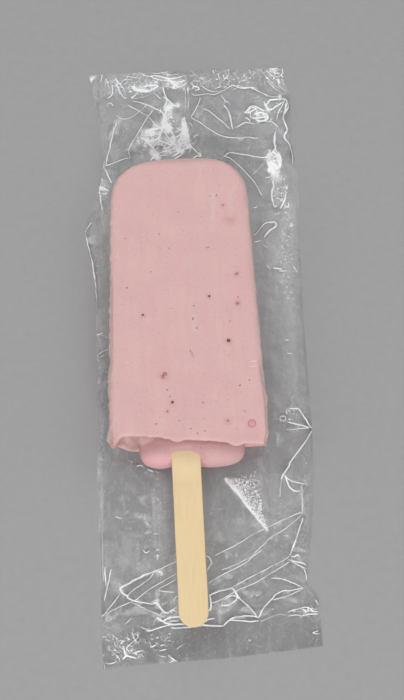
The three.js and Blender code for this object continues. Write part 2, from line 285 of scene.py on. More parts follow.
class Shader:
    """Builds one node material. Inputs given as sockets are linked, others are set."""

    def __init__(self, name):
        self.material = bpy.data.materials.new(name)
        self.material.use_nodes = True
        self.tree = self.material.node_tree
        self.tree.nodes.clear()

    def feed(self, socket, value):
        if isinstance(value, bpy.types.NodeSocket):
            self.tree.links.new(value, socket)
        else:
            socket.default_value = value

    def node(self, kind, inputs=None, **settings):
        made = self.tree.nodes.new("ShaderNode" + kind)
        for name, value in settings.items():
            setattr(made, name, value)
        for name, value in (inputs or {}).items():
            self.feed(made.inputs[name], value)
        return made

    def attribute(self, name):
        return self.node("Attribute", attribute_name=name).outputs["Fac"]

    def place(self, stretch=(1, 1, 1)):
        """Where a point is, in millimetres, with each axis divided by stretch."""
        coordinates = self.node("TexCoord").outputs["Object"]
        scale = [1 / (MM * each) for each in stretch]
        scaled = self.node("VectorMath", {0: coordinates, 1: scale}, operation="MULTIPLY")
        return scaled.outputs["Vector"]

    def noise(self, place, scale, detail=2.0, roughness=0.5):
        inputs = {"Vector": place, "Scale": scale, "Detail": detail, "Roughness": roughness}
        return self.node("TexNoise", inputs).outputs["Fac"]

    def ranged(self, value, low, high, start=0.0, end=1.0):
        """value from low..high carried to start..end, and clamped there."""
        inputs = {"Value": value, "From Min": low, "From Max": high, "To Min": start, "To Max": end}
        return self.node("MapRange", inputs).outputs["Result"]

    def cells(self, place, scale):
        """Two random numbers for each cell of an irregular net, and the distance from the cell's edge."""
        inputs = {"Vector": place, "Scale": scale}
        colours = self.node("TexVoronoi", inputs, feature="F1").outputs["Color"]
        parts = self.node("SeparateColor", {"Color": colours})
        edge = self.node("TexVoronoi", inputs, feature="DISTANCE_TO_EDGE").outputs["Distance"]
        return parts.outputs["Red"], parts.outputs["Green"], edge

    def above(self, value, lift, weight, threshold, width=0.05):
        """1 where value, raised by lift times weight, is over a threshold, and 0 below it."""
        raised = self.maths("ADD", value, self.maths("MULTIPLY", lift, weight))
        return self.ranged(raised, threshold, threshold + width)

    def distance(self, point):
        """How far the surface is from a point, both in millimetres."""
        inputs = {0: self.place(), 1: tuple(point)}
        return self.node("VectorMath", inputs, operation="DISTANCE").outputs["Value"]

    def maths(self, operation, first, second=0.0, clamp=False):
        made = self.node("Math", {0: first, 1: second}, operation=operation, use_clamp=clamp)
        return made.outputs["Value"]

    def most(self, first, second):
        return self.maths("MAXIMUM", first, second)

    def product(self, first, second):
        return self.maths("MULTIPLY", first, second)

    def mixed(self, share, first, second):
        made = self.node("Mix", data_type="RGBA")
        for name, value in (("Factor_Float", share), ("A_Color", first), ("B_Color", second)):
            self.feed(next(each for each in made.inputs if each.identifier == name), value)
        return next(each for each in made.outputs if each.identifier == "Result_Color")

    def layered(self, base, layers):
        """A colour with others laid over it, each given as its share and its colour."""
        for share, over in layers:
            base = self.mixed(share, base, over)
        return base

    def bump(self, height, strength, distance):
        inputs = {"Height": height, "Strength": strength, "Distance": distance * MM}
        return self.node("Bump", inputs).outputs["Normal"]

    def finish(self, surface):
        self.node("OutputMaterial", {"Surface": surface})
        return self.material

    def principled(self, inputs):
        """The material, with one principled shader as its surface."""
        return self.finish(self.node("BsdfPrincipled", inputs).outputs["BSDF"])


def colour(red, green, blue):
    """A colour given as it looks on screen, 0 to 255, as the linear numbers that shaders take."""
    shown = np.array([red, green, blue]) / 255
    linear = np.where(shown <= 0.04045, shown / 12.92, ((shown + 0.055) / 1.055) ** 2.4)
    return (*linear.tolist(), 1.0)


CREAM, CREAM_PALE = colour(221, 178, 178), colour(226, 186, 183)
CREAM_STREAK, CREAM_GRAIN = colour(217, 174, 174), colour(232, 196, 192)
CREAM_MOTTLE_DARK, CREAM_MOTTLE_PALE = colour(200, 160, 164), colour(232, 192, 190)
# The blush colour is pinker cream and also painted light, lifting the swollen lobes out of their shade.
CREAM_DOT, CREAM_PINK_AND_PAINTED_LIGHT = colour(196, 132, 140), colour(234, 183, 187)
# The recess colour is painted shade, laid behind and under the lip, in the hollow and under the knob.
CREAM_STAIN, CREAM_PAINTED_SHADE = colour(182, 104, 112), colour(178, 122, 124)
BUBBLE_INSIDE, BUBBLE_RIM = colour(206, 134, 144), colour(182, 100, 114)
CREAM_FROST = colour(222, 203, 195)
CREAM_GLOW_COLOURS, CREAM_GLOW_DEPTH = (1.0, 0.45, 0.4), 1.6  # how far red, green and blue light spreads


def cream_material():
    """Pink frozen cream: clouded, streaked and mottled, with stains, painted shade in its recesses, pinker
    lobes with painted light, a bubble and frost.
    """
    shader = Shader("frozen_cream")
    place = shader.place()
    clouds = shader.noise(place, 0.09, 3, 0.6)
    streaks = shader.noise(shader.place((1, 14, 2)), 0.5, 2)
    grain = shader.noise(place, 3.2, 2)
    mottles = shader.noise(place, 1.5, 3, 0.6)
    from_dot = shader.node("TexVoronoi", {"Vector": place, "Scale": 0.3}, feature="F1").outputs["Distance"]
    bubble_x, bubble_y, bubble_radius = BUBBLE
    from_bubble = shader.distance(POP + (bubble_x, bubble_y, thickness_at(bubble_y)))
    from_rim = shader.maths("ABSOLUTE", shader.maths("SUBTRACT", from_bubble, bubble_radius))
    base = shader.layered(CREAM, [
        (shader.ranged(clouds, 0.35, 0.65), CREAM_PALE),
        (shader.ranged(streaks, 0.35, 0.75, 0, 0.45), CREAM_STREAK),
        (shader.ranged(grain, 0.45, 0.8, 0, 0.3), CREAM_GRAIN),
        (shader.ranged(mottles, 0.55, 0.72, 0, 0.4), CREAM_MOTTLE_DARK),
        (shader.ranged(mottles, 0.45, 0.28, 0, 0.35), CREAM_MOTTLE_PALE),
        (shader.ranged(from_dot, 0.16, 0.06, 0, 0.3), CREAM_DOT),
        # pinker cream, and painted light on the swollen lobes
        (shader.attribute("blush"), CREAM_PINK_AND_PAINTED_LIGHT),
        (shader.attribute("stain"), CREAM_STAIN),
        # painted shade behind and under the lip, in the hollow and under the knob
        (shader.attribute("painted_shade_in_recesses"), CREAM_PAINTED_SHADE),
        (shader.ranged(from_bubble, bubble_radius, bubble_radius - 0.3, 0, 0.45), BUBBLE_INSIDE),
        (shader.ranged(from_rim, 0.28, 0.08, 0, 0.75), BUBBLE_RIM),
        (shader.attribute("frost"), CREAM_FROST),
    ])
    height = shader.maths("ADD", shader.product(grain, 0.5), shader.noise(place, 1.1, 3))
    return shader.principled({
        "Base Color": base,
        "Roughness": shader.ranged(clouds, 0.3, 0.7, 0.5, 0.66),
        "Normal": shader.bump(height, 0.35, 0.12),
        "Subsurface Weight": 0.25,
        "Subsurface Radius": CREAM_GLOW_COLOURS,
        "Subsurface Scale": CREAM_GLOW_DEPTH * MM,
        "Specular IOR Level": 0.35,
    })


def fleck_material(name, dark, pale):
    """A fleck of two clouded shades, a little glossier than the cream."""
    shader = Shader(name)
    cloud = shader.noise(shader.place(), 1.3, 2)
    return shader.principled({
        "Base Color": shader.mixed(shader.ranged(cloud, 0.35, 0.65), dark, pale),
        "Roughness": shader.ranged(cloud, 0.3, 0.7, 0.35, 0.55),
        "Normal": shader.bump(cloud, 0.4, 0.1),
    })


WOOD, WOOD_PALE = colour(229, 200, 152), colour(239, 215, 172)
WOOD_BAND, WOOD_BLUSH = colour(236, 212, 169), colour(235, 202, 155)
# Painted light: the wood is painted paler near the cream, lifting the shade that the cream casts on the
# stick.
WOOD_PAINTED_LIGHT, WOOD_PORE = colour(252, 232, 190), colour(205, 168, 122)
STICK_PAINTED_LIGHT_CENTRE = (STICK_X, -4, BASE_THICKNESS / 2)  # close to the cream, from the bar's own origin
STICK_PAINTED_LIGHT_REACH, STICK_PAINTED_LIGHT_CORE = 9, 4


def wood_material():
    """Pale birch: fibres, bands and pores drawn out along the stick, and light painted on beside the cream,
    where the cream shades it.
    """
    shader = Shader("birch_wood")
    fibres = shader.noise(shader.place((1, 26, 1)), 2.4, 4, 0.6)
    bands = shader.noise(shader.place((1, 40, 1)), 0.42, 2)
    blush = shader.noise(shader.place((1, 2.2, 1)), 0.07, 2)
    pores = shader.noise(shader.place((0.5, 5, 1)), 2.6, 1)
    from_painted_light = shader.distance(POP + STICK_PAINTED_LIGHT_CENTRE)
    base = shader.layered(WOOD, [
        (shader.ranged(fibres, 0.3, 0.7), WOOD_PALE),
        (shader.ranged(bands, 0.3, 0.7, 0, 0.6), WOOD_BAND),
        (shader.ranged(blush, 0.5, 0.72, 0, 0.5), WOOD_BLUSH),
        (shader.ranged(from_painted_light, STICK_PAINTED_LIGHT_REACH, STICK_PAINTED_LIGHT_CORE, 0, 0.7), WOOD_PAINTED_LIGHT),
        (shader.ranged(pores, 0.68, 0.8, 0, 0.35), WOOD_PORE),
    ])
    return shader.principled({
        "Base Color": base,
        "Roughness": shader.ranged(fibres, 0.3, 0.7, 0.55, 0.7),
        "Normal": shader.bump(fibres, 0.25, 0.1),
        "Specular IOR Level": 0.3,
    })


# The shaded tint darkens the film where shade is painted, and where the crimps lie in more layers.
FILM_TINT, FILM_SHADED = (0.978, 0.979, 0.981, 1), (0.64, 0.62, 0.6, 1)
# The white is the colour of the painted highlights and glints.
FILM_GLOSS, FILM_PAINTED_HIGHLIGHT = (1, 1, 1, 1), (0.955, 0.965, 0.98, 1)
FILM_MIRROR = 0.04  # share that the film mirrors where it is seen square on


def film_material():
    """Clear film: it mirrors by Fresnel, and has white painted on as highlights and glints where it is
    creased, crinkled or gleams.
    """
    shader = Shader("clear_film")
    frost = shader.attribute("frost")
    crinkle = shader.noise(shader.place(), 0.55, 3, 0.65)
    milky = shader.noise(shader.place((1, 5, 1)), 0.5, 5, 0.7)
    shard, dark_shard, shard_edge = shader.cells(shader.place((1, 1.6, 1)), 1.0)
    speck, dark_speck, _ = shader.cells(shader.place((1.8, 1, 1)), 2.3)
    bead, dull_bead, _ = shader.cells(shader.place(), 3.0)

    # Painted shade: dark facets where the film is frosted, and the shade attribute, darken what shows
    # through.
    dark_shards = shader.above(dark_shard, frost, 0.3, 1.0)
    dark = shader.product(shader.most(dark_shards, shader.above(dark_speck, frost, 0.4, 1.0)), 0.5)
    dark = shader.maths("ADD", dark, shader.attribute("shade"), clamp=True)
    clear = shader.node("BsdfTransparent", {"Color": shader.mixed(dark, FILM_TINT, FILM_SHADED)})
    normal = shader.bump(crinkle, 0.2, 0.35)
    gloss = shader.node("BsdfGlossy", {"Color": FILM_GLOSS, "Roughness": 0.2, "Normal": normal})
    slant = shader.node("LayerWeight", {"Blend": 0.5, "Normal": normal}).outputs["Facing"]
    mirrored = shader.ranged(shader.maths("POWER", slant, 5.0), 0, 1, FILM_MIRROR, 1)
    film = shader.node("MixShader", {0: mirrored, 1: clear.outputs[0], 2: gloss.outputs[0]})

    # Painted glints: white shards, specks and fold lines where the film is frosted.
    shards = shader.most(shader.above(shard, frost, 0.4, 1.0), shader.above(speck, frost, 0.5, 1.0))
    folds = shader.product(shader.ranged(shard_edge, 0.11, 0.03), shader.above(crinkle, frost, 0.35, 0.6))
    folds = shader.product(folds, shader.ranged(frost, 0.02, 0.12))
    facets = shader.most(shards, shader.product(folds, 0.7))
    facets = shader.product(facets, shader.ranged(dark_shard, 0, 1, 0.1, 0.85))
    painted_glint_beads = shader.above(bead, shader.attribute("painted_glint_beads"), 1.0, 0.9, 0.3)
    painted_glint_beads = shader.product(painted_glint_beads, shader.ranged(dull_bead, 0, 1, 0.3, 1.0))
    # All the painted highlights: glints, beads, milky streaks, crease lines and gleams.
    painted_highlight = shader.most(shader.maths("ADD", facets, shader.product(frost, 0.14)), painted_glint_beads)
    painted_highlight = shader.maths("ADD", painted_highlight, shader.ranged(milky, 0.5, 0.75, 0, 0.09))
    painted_highlight = shader.maths("ADD", painted_highlight, shader.attribute("crease"))
    painted_highlight = shader.maths("ADD", painted_highlight, shader.attribute("painted_gleam"), clamp=True)
    pale = shader.node("BsdfDiffuse", {"Color": FILM_PAINTED_HIGHLIGHT, "Roughness": 0.0})
    surface = shader.node("MixShader", {0: painted_highlight, 1: film.outputs[0], 2: pale.outputs[0]})
    return shader.finish(surface.outputs[0])


FLOOR_COLOUR, FLOOR_PALE = colour(162, 162, 163), colour(166, 166, 167)


def floor_material():
    """The plain grey table."""
    shader = Shader("plain_floor")
    cloud = shader.noise(shader.place(), 0.35, 4, 0.7)
    return shader.principled({
        "Base Color": shader.mixed(shader.ranged(cloud, 0.3, 0.7), FLOOR_COLOUR, FLOOR_PALE),
        "Roughness": 0.9,
        "Specular IOR Level": 0.1,
    })


# ---------- the frozen cream ----------

LEFT_CORNER_X, LEFT_CORNER_BEND = (19.5, 27), 1.5  # where the left corner's rise begins and ends
CORNER_LUMP_UP, LIP_MARK_CLIMB = (0.1, 0.9), 4  # how the lump and the knobs grow towards the face
# The trough is shallower towards the left corner, and nearly filled up between the hollow and the bulge.
SHALLOW_X, SHALLOW_SHARE = (15, 19), 0.5
FILLED_X, FILLED_END_X, FILLED_END_Z, FILLED_SHARE = (-22.5, -18.5), (-14, -11), (11, 19), 0.9
HOLLOW_STEEPNESS = 0.7


def straight_half_width(side, y):
    """How far the bar reaches to one side (-1 or 1), before its tip is rounded."""
    taper = lerp(BASE_WIDTH, TIP_WIDTH, y / BAR_LENGTH) / 2
    swelling = SWELLING_REACH * fall(y, SWELLING_TO, SWELLING_FROM)
    return taper + np.where(side > 0, swelling, 0)


def reach_from_crown(side, depth):
    """How far the bar reaches to one side of its crown, at a depth below it."""
    full = straight_half_width(side, BAR_LENGTH - depth) - side * TIP_CROWN_X
    above = np.maximum(0, 1 - depth / TIP_DEPTH[side])
    return full * (1 - above**TIP_FULLNESS) ** (1 / TIP_FULLNESS)


def thickness_at(y):
    return lerp(BASE_THICKNESS, TIP_THICKNESS, y / BAR_LENGTH)


def blunt_bump(x, bump):
    """A flat-topped bump, given by its middle, reach and half width."""
    at, reach, width = bump
    return reach * np.exp(-(np.abs((x - at) / width) ** LIP_MARK_BLUNTNESS))


def rim_line(x, z):
    """How far up the bar its open end's rim lies, at each place across and up."""
    forward = np.clip(z / BASE_THICKNESS, 0, 1)
    marks = -sum(blunt_bump(x, mark) for mark in LIP_MARKS)
    corner = LEFT_CORNER_RISE * smoothstep(-x, *LEFT_CORNER_X) * (1 - forward) ** LEFT_CORNER_BEND
    corner -= blunt_bump(x, CORNER_LUMP) * smoothstep(forward, *CORNER_LUMP_UP)
    return lerp(LIP_BACK_EDGE, LIP_SLOPE * x, forward) + marks * forward**LIP_MARK_CLIMB + corner


def end_surface(x, z):
    """How far up the bar its open end lies: the rim with the trough and the hollow sunk into it."""
    from_side = straight_half_width(np.sign(x), 0) - np.abs(x)
    inside = np.minimum(from_side, np.minimum(z, BASE_THICKNESS - z))
    filled = smoothstep(x, *FILLED_X) * fall(x, *FILLED_END_X) * fall(z, *FILLED_END_Z)
    trough = TROUGH_DEPTH * smoothstep(inside, LIP_WALL, LIP_WALL + TROUGH_WIDTH)
    trough = trough * (1 - FILLED_SHARE * filled) * lerp(1, SHALLOW_SHARE, smoothstep(-x, *SHALLOW_X))
    hollow = HOLLOW_DEPTH * np.maximum(0, 1 - hollow_reach(x, z) ** 2) ** HOLLOW_STEEPNESS
    return rim_line(x, z) + trough + hollow


def hollow_reach(x, z):
    """How far a place is from the middle of the hollow in the open end, 1 at its rim."""
    return np.hypot((x - HOLLOW_X) / HOLLOW_HALF_WIDTH, (z - HOLLOW_Z) / HOLLOW_HALF_HEIGHT)


QUARTER = (14, 8, 32)  # steps up the side, round the edge and over the face
TIP_ROWS, SIDE_ROWS, END_ROWS = 20, 64, 34
TIP_CROWDING, END_CROWDING = 2.3, 1.25  # how the rows crowd towards the crown and towards the rim
BULGE_RINGS, BULGE_COLUMNS, VALLEY_BLUNTNESS = 60, 120, 4


def quarter_shape(half_width, half_height, radius):
    """A quarter of a rounded rectangle, from the middle of its side to the middle of its face."""
    side, corner, face = QUARTER
    up = [(half_width, (half_height - radius) * step / side) for step in range(side)]
    turns = [math.pi / 2 * step / corner for step in range(corner)]
    edge = [
        (half_width + radius * (math.cos(turn) - 1), half_height + radius * (math.sin(turn) - 1))
        for turn in turns
    ]
    over = [((half_width - radius) * (1 - step / face), half_height) for step in range(face + 1)]
    return up + edge + over


def section_ring(half_width, half_height):
    """The points of a section from the left side over the front to the right side and back."""
    left = quarter_shape(half_width, half_height, min(LEFT_EDGE_RADIUS, half_width / 2))
    right = quarter_shape(half_width, half_height, min(RIGHT_EDGE_RADIUS, half_width / 2))
    ring = [(-across, up) for across, up in left[:-1]]
    ring += [(across, up) for across, up in right[:0:-1]]
    ring += [(across, -up) for across, up in right[:-1]]
    ring += [(-across, -up) for across, up in left[:0:-1]]
    return np.array(ring)


def bar_sections():
    """Each row of the bar's sides: its depth below the tip, its centre and its ring."""
    tip_depth = TIP_DEPTH[-1]
    depths = [tip_depth * (row / TIP_ROWS) ** TIP_CROWDING for row in range(1, TIP_ROWS)]
    depths += [lerp(tip_depth, BAR_LENGTH, row / SIDE_ROWS) for row in range(SIDE_ROWS + 1)]
    for depth in depths:
        left = float(reach_from_crown(-1, depth))
        right = float(reach_from_crown(1, depth))
        thickness = thickness_at(BAR_LENGTH - depth)
        edge_depth = max(0, TIP_EDGE_RADIUS - depth)
        rounding = TIP_EDGE_RADIUS - math.sqrt(TIP_EDGE_RADIUS**2 - edge_depth**2)
        ring = section_ring((left + right) / 2, thickness / 2 - rounding)
        yield depth, np.array([TIP_CROWN_X + (right - left) / 2, thickness / 2]), ring


def bar_mesh():
    """The bar: its crown, the rows of its sides, and its open end."""
    rows = []
    for depth, centre, ring in bar_sections():
        x, z = (ring + centre).T
        y = lerp(BAR_LENGTH, rim_line(x, z), depth / BAR_LENGTH)
        rows.append(np.stack([x, y, z], axis=1))
    for row in range(1, END_ROWS):
        x, z = (ring * (1 - (row / END_ROWS) ** END_CROWDING) + centre).T
        rows.append(np.stack([x, end_surface(x, z), z], axis=1))
    tip = [[TIP_CROWN_X, BAR_LENGTH, TIP_THICKNESS / 2]]
    middle = [[centre[0], float(end_surface(centre[0], centre[1])), centre[1]]]
    return np.concatenate([tip, *rows, middle]), tube_faces(len(rows), len(ring))


def sphere_mesh(rings, columns):
    """A unit sphere with its poles along z."""
    turns = 2 * np.pi * np.arange(columns) / columns
    rows = []
    for ring in range(1, rings + 1):
        polar = math.pi * ring / (rings + 1)
        across, up = np.sin(polar), np.full(columns, np.cos(polar))
        rows.append(np.stack([across * np.cos(turns), across * np.sin(turns), up], axis=1))
    return np.concatenate([[[0, 0, 1]], *rows, [[0, 0, -1]]]), tube_faces(rings, columns)


def bulge_mesh():
    """The pillow of cream that swelled out round the stick, with a valley between its two lobes."""
    points, faces = sphere_mesh(BULGE_RINGS, BULGE_COLUMNS)
    across, along, up = np.abs(points).T
    outline = across**BULGE_CORNERS + along**BULGE_CORNERS
    pillow = outline ** (BULGE_PILLOW / BULGE_CORNERS) + up**BULGE_PILLOW
    points = points / (pillow ** (1 / BULGE_PILLOW))[:, None]
    x = points[:, 0] * BULGE_HALF_WIDTH
    valley = np.exp(-(((x + BULGE_CENTRE[0] - VALLEY_X) / VALLEY_HALF_WIDTH) ** VALLEY_BLUNTNESS))
    y = points[:, 1] * BULGE_REACH * (1 - VALLEY_NOTCH * valley)
    rise = np.where(points[:, 2] > 0, BULGE_UP * (1 - VALLEY_DEPTH * valley), BULGE_DOWN)
    return np.stack([x, y, points[:, 2] * rise], axis=1) + BULGE_CENTRE, faces


# The cream that closes over the stick's top and its right corner: outline seen from above, and heights.
STICK_COLLAR = [
    (-7.4, 2.5), (-7.4, -0.6), (-6.2, -0.8), (-5.4, 0.0), (0.6, 0.05), (1.7, -0.4), (2.6, -1.2),
    (3.2, -2.2), (3.5, -3.4), (3.6, -5.0), (4.6, -5.0), (6.2, -3.2), (7.0, -0.5), (7.0, 2.5),
]
STICK_COLLAR_HEIGHTS = (10.5, 14.2)

VOXEL = 0.5  # size of the cells from which the skin is made
EVENING, EVENING_ROUNDS = 0.5, 6  # how strongly and how often the skin is evened

# Pits in the face: x and y from the bar's own origin, radius and depth.
PITS = [
    (14.7, 33.7, 0.9, 0.35), (-7.5, 22.4, 1.3, 0.25), (-5.2, 13.2, 0.8, 0.35), (-14.0, 44.2, 0.7, 0.25),
    (8.8, 49.8, 0.7, 0.25), (18.6, 57.5, 0.9, 0.25), (18.3, 46.8, 1.0, 0.2), (12.9, 5.9, 0.9, 0.25),
    (17.6, 77.9, 1.6, 0.15), (15.2, 83.3, 0.7, 0.15), (-6.9, 10.1, 0.6, 0.25),
]
BUBBLE = (20.8, 4.7, 1.25)  # x, y and radius of the bubble's ring
# Scratches and raised scrapes on the face, from end to end.
SCRATCHES = [((20.7, 26.1), (24.4, 25.9)), ((20.6, 24.3), (24.3, 24.1))]
SCRAPES = [((18.1, 87.3), (17.7, 79.3)), ((11.8, 87.6), (11.1, 74.0)), ((3.4, 43.2), (3.1, 37.9))]


def distance_to_line(x, y, start, end):
    """How far each point lies from a line between two points, and how far along it as a share."""
    run = np.subtract(end, start)
    along = np.clip(((x - start[0]) * run[0] + (y - start[1]) * run[1]) / (run @ run), 0, 1)
    return np.hypot(x - start[0] - along * run[0], y - start[1] - along * run[1]), along


def prism_mesh(outline, heights):
    """An upright prism over an outline seen from above."""
    count = len(outline)
    points = [(x, y, z) for z in heights for x, y in outline]
    caps = [tuple(range(count))[::-1], tuple(range(count, 2 * count))]
    return np.array(points), caps + band_faces(0, count)


def cream_piece():
    """The bar with the cream that swelled out of its open end, in one skin, with its surface sculpted."""
    shells = [bar_mesh(), bulge_mesh(), prism_mesh(STICK_COLLAR, STICK_COLLAR_HEIGHTS)]
    made = mesh_object("frozen_cream", *joined(shells))
    remesh = made.modifiers.new("skin", "REMESH")
    remesh.mode = "VOXEL"
    remesh.voxel_size = VOXEL * MM
    even = made.modifiers.new("even", "SMOOTH")
    even.factor = EVENING
    even.iterations = EVENING_ROUNDS
    apply_modifiers(made)
    sculpt_cream(made.data)
    return finished(made, cream_material())


# Over which tilt of the skin, and which height or distance from the middle, the face and sides begin.
FACE_TILT, FACE_HEIGHT = (0.6, 0.95), (16, 19)
SIDE_TILT, SIDE_X = (0.35, 0.8), (18, 21)

# Heights and widths of what the mould left, and how far up the bar each part begins and ends.
LEFT_LOW_END, RIGHT_LOW_END = (52, 66), (22, 30)  # where the rougher lower part of each side gives way
FLASH_BELOW_FACE, FLASH_WIDTH, FLASH_HEIGHT = 3.4, 1.3, 0.75
LEFT_SUNK, RIGHT_SUNK, RIGHT_END_SUNK, RIGHT_END = 0.45, 0.55, 0.5, (4, 14)
LEFT_OUT, LEFT_OUT_FROM, LEFT_OUT_TO = 0.35, (4, 8), (20, 32)
LUMP, LUMP_Y, LUMP_LENGTH, LUMP_Z, LUMP_TALLNESS = 1.2, 2.2, 3.4, 15, 8  # at the left side's lower end
RIGHT_RIDGES = [(0.45, 3.2, 0.7), (0.315, 5.4, 0.8)]  # height, depth below the face and width
TIP_FROM = (95, 100)
BUBBLE_HEIGHT, BUBBLE_SPREAD, BUBBLE_RIM_DEPTH, BUBBLE_RIM_WIDTH = 0.22, 0.7, 0.3, 0.45
STROKES = [(SCRATCHES, -0.14, 0.4), (SCRAPES, 0.05, 0.8)]  # height and width of each kind
RIGHT_CORNER_X, RIGHT_CORNER_END = (22, 27.5), (-3, 3)
LEFT_CORNER_DRAWN_X, LEFT_CORNER_END = (24, 28), (0, 5)
LIP_UP, LIP_LINE, LIP_LINE_WIDTH = (18, 22), 0.3, 1.5
LEFT_KNOB, LEFT_KNOB_WIDTH, LEFT_KNOB_UP = (-26.3, 0.5), 2.6, (8, 14)


def flash_line(points):
    """The raised line that the mould's edge left along the left side, about 1 where it is full."""
    below_face = thickness_at(points[:, 1]) - points[:, 2]
    return bell(below_face - FLASH_BELOW_FACE, FLASH_WIDTH) * (FLASH_HEIGHT + uneven(points, "flash"))


def left_knob(x, y, z):
    """The knob of cream at the left end of the lip."""
    away = np.hypot(x - LEFT_KNOB[0], y - LEFT_KNOB[1])
    return bell(away, LEFT_KNOB_WIDTH) * smoothstep(z, *LEFT_KNOB_UP)


def inside_hollow(x, y, z):
    return fall(hollow_reach(x, z), 0.9, 1.1) * bell(y - 3, 4)


def cream_relief(points, face, left, right):
    """How far each point of the skin stands out, by what the mould, the frost and bubbles left."""
    x, y, z = points.T
    below_face = thickness_at(y) - z
    low_left = fall(y, *LEFT_LOW_END)
    low_right = fall(y, *RIGHT_LOW_END)
    ridges = sum(height * bell(below_face - depth, width) for height, depth, width in RIGHT_RIDGES)
    out = uneven(points, "waves") + uneven(points, "dimples") + face * uneven(points, "face streaks")
    out += left * low_left * (flash_line(points) - LEFT_SUNK)
    out += left * (1 - low_left) * uneven(points, "upper left")
    out += left * uneven(points, "left layers")
    out += left * LEFT_OUT * smoothstep(y, *LEFT_OUT_FROM) * fall(y, *LEFT_OUT_TO)
    out += left * LUMP * bell(y - LUMP_Y, LUMP_LENGTH) * bell(z - LUMP_Z, LUMP_TALLNESS)
    out += right * low_right * (ridges + uneven(points, "lower right") - RIGHT_SUNK)
    out -= right * RIGHT_END_SUNK * fall(y, *RIGHT_END)
    out += right * (1 - low_right) * uneven(points, "upper right")
    out += (left + right + smoothstep(y, *TIP_FROM)) * (1 - face) * uneven(points, "side grain")
    for at_x, at_y, radius, depth in PITS:
        out -= face * depth * bell(np.hypot(x - at_x, y - at_y), radius)
    at_x, at_y, radius = BUBBLE
    ring = np.hypot(x - at_x, y - at_y)
    out += face * BUBBLE_HEIGHT * bell(ring, radius * BUBBLE_SPREAD)
    out -= face * BUBBLE_RIM_DEPTH * bell(ring - radius, BUBBLE_RIM_WIDTH)
    for lines, height, width in STROKES:
        for start, end in lines:
            out += face * height * bell(distance_to_line(x, y, start, end)[0], width)
    return out


def shape_open_end(points, moved):
    """Draws in the open end's corners and tears its lip, on points that have been moved already."""
    x, y, z = points.T
    moved[:, 0] -= RIGHT_CORNER_INSET * smoothstep(x, *RIGHT_CORNER_X) * fall(y, *RIGHT_CORNER_END)
    moved[:, 0] += LEFT_CORNER_INSET * smoothstep(-x, *LEFT_CORNER_DRAWN_X) * fall(y, *LEFT_CORNER_END)
    near_lip = bell(y - rim_line(x, z) - LIP_LINE, LIP_LINE_WIDTH) * smoothstep(z, *LIP_UP)
    moved[:, 1] -= near_lip * (uneven(points, "lip tears") + uneven(points, "lip crumbs"))


def cream_frost(points, normals, face, left, right):
    """How frosted each point is: the sides, the rims of the face, the hollow and the lip, and the tip."""
    x, y, z = points.T
    speckled = 0.6 + uneven(points, "speckles")
    from_lip = y - rim_line(x, z)
    low_left = fall(y, *LEFT_LOW_END)
    hollow_rim = bell(hollow_reach(x, z) - 1.16, 0.1) * smoothstep(9 - z, 0, 4) * bell(y - 1, 2.5)
    face_rim = bell(normals[:, 2] - 0.6, 0.28) * smoothstep(z, 13, 16) * smoothstep(y, 1, 4)
    face_rim *= lerp(0.6, 0.9, smoothstep(y, 85, 98)) * (0.8 + uneven(points, "rim frost"))
    at_tip = smoothstep(y, 86, 100) * np.maximum(0, uneven(points, "tip frost"))
    lip_edge = bell(from_lip - 0.2, 0.8) * smoothstep(normals[:, 2], 0.3, 0.6) * smoothstep(z, 20, 23)
    kinds = [
        left * (0.45 + 0.6 * low_left * flash_line(points)) * speckled,
        # On the right side the frost is also painted light, lifting the side that the lamps leave in shade.
        0.8 * right * speckled,
        0.8 * hollow_rim,
        0.5 * inside_hollow(x, y, z) * speckled,
        0.6 * left_knob(x, y, z) * speckled,
        face_rim,
        0.45 * at_tip,
        0.4 * lip_edge * speckled,
    ]
    for at_x, _, width in LIP_MARKS:
        mark = bell(np.hypot((x - at_x) / width, from_lip / 1.2), 1.0) * smoothstep(z, 19, 22)
        kinds.append(0.7 * mark * speckled)
    scraped = 0.9 + uneven(points, "scrape frost")
    for start, end in SCRAPES:
        kinds.append(0.45 * face * scraped * bell(distance_to_line(x, y, start, end)[0], 1.0))
    return np.maximum.reduce(kinds)


def cream_stain(points, face):
    """How stained the cream is round the fruit in its pits."""
    x, y, _ = points.T
    spots = [bell(np.hypot(x - at_x, y - at_y), radius * 1.3) for at_x, at_y, radius, _ in PITS]
    return 0.3 * face * np.maximum.reduce(spots)


def cream_painted_shade(points, face):
    """Painted shade: how dark each point is painted because it lies behind the lip, under it, deep in the
    hollow or under the knob.
    """
    x, y, z = points.T
    behind_lip = smoothstep(y - LIP_SLOPE * x, 0.1, 1.8) * fall(y, 7, 9) * (1 - face)
    behind_lip *= smoothstep(z, 11, 17) * fall(np.abs(x), 23, 25.5)
    under_lip = smoothstep(z, 12, 15.5) * bell(x + 15, 4.5) * bell(y - 1.2, 2.5) * (1 - face)
    deep = smoothstep(HOLLOW_Z - z, 3, 8) * bell(hollow_reach(x, z) - 0.92, 0.14)
    shallow = 0.1 + 0.25 * smoothstep(x, -23, -20.5)
    in_hollow = inside_hollow(x, y, z) * lerp(shallow, 0.85, deep)
    return np.maximum.reduce([0.75 * behind_lip, 0.35 * under_lip, 0.6 * left_knob(x, y, z), in_hollow])


def cream_pinker_and_painted_light(points):
    """How much pinker the swollen cream is, more so in its left lobe, with light painted on where the lobes
    lie in shade.
    """
    x, y, z = points.T
    swollen = fall(y, -3.5, -1) * fall(z, 14, 16)
    return swollen * (0.3 + 0.7 * smoothstep(-x, 0, 6))


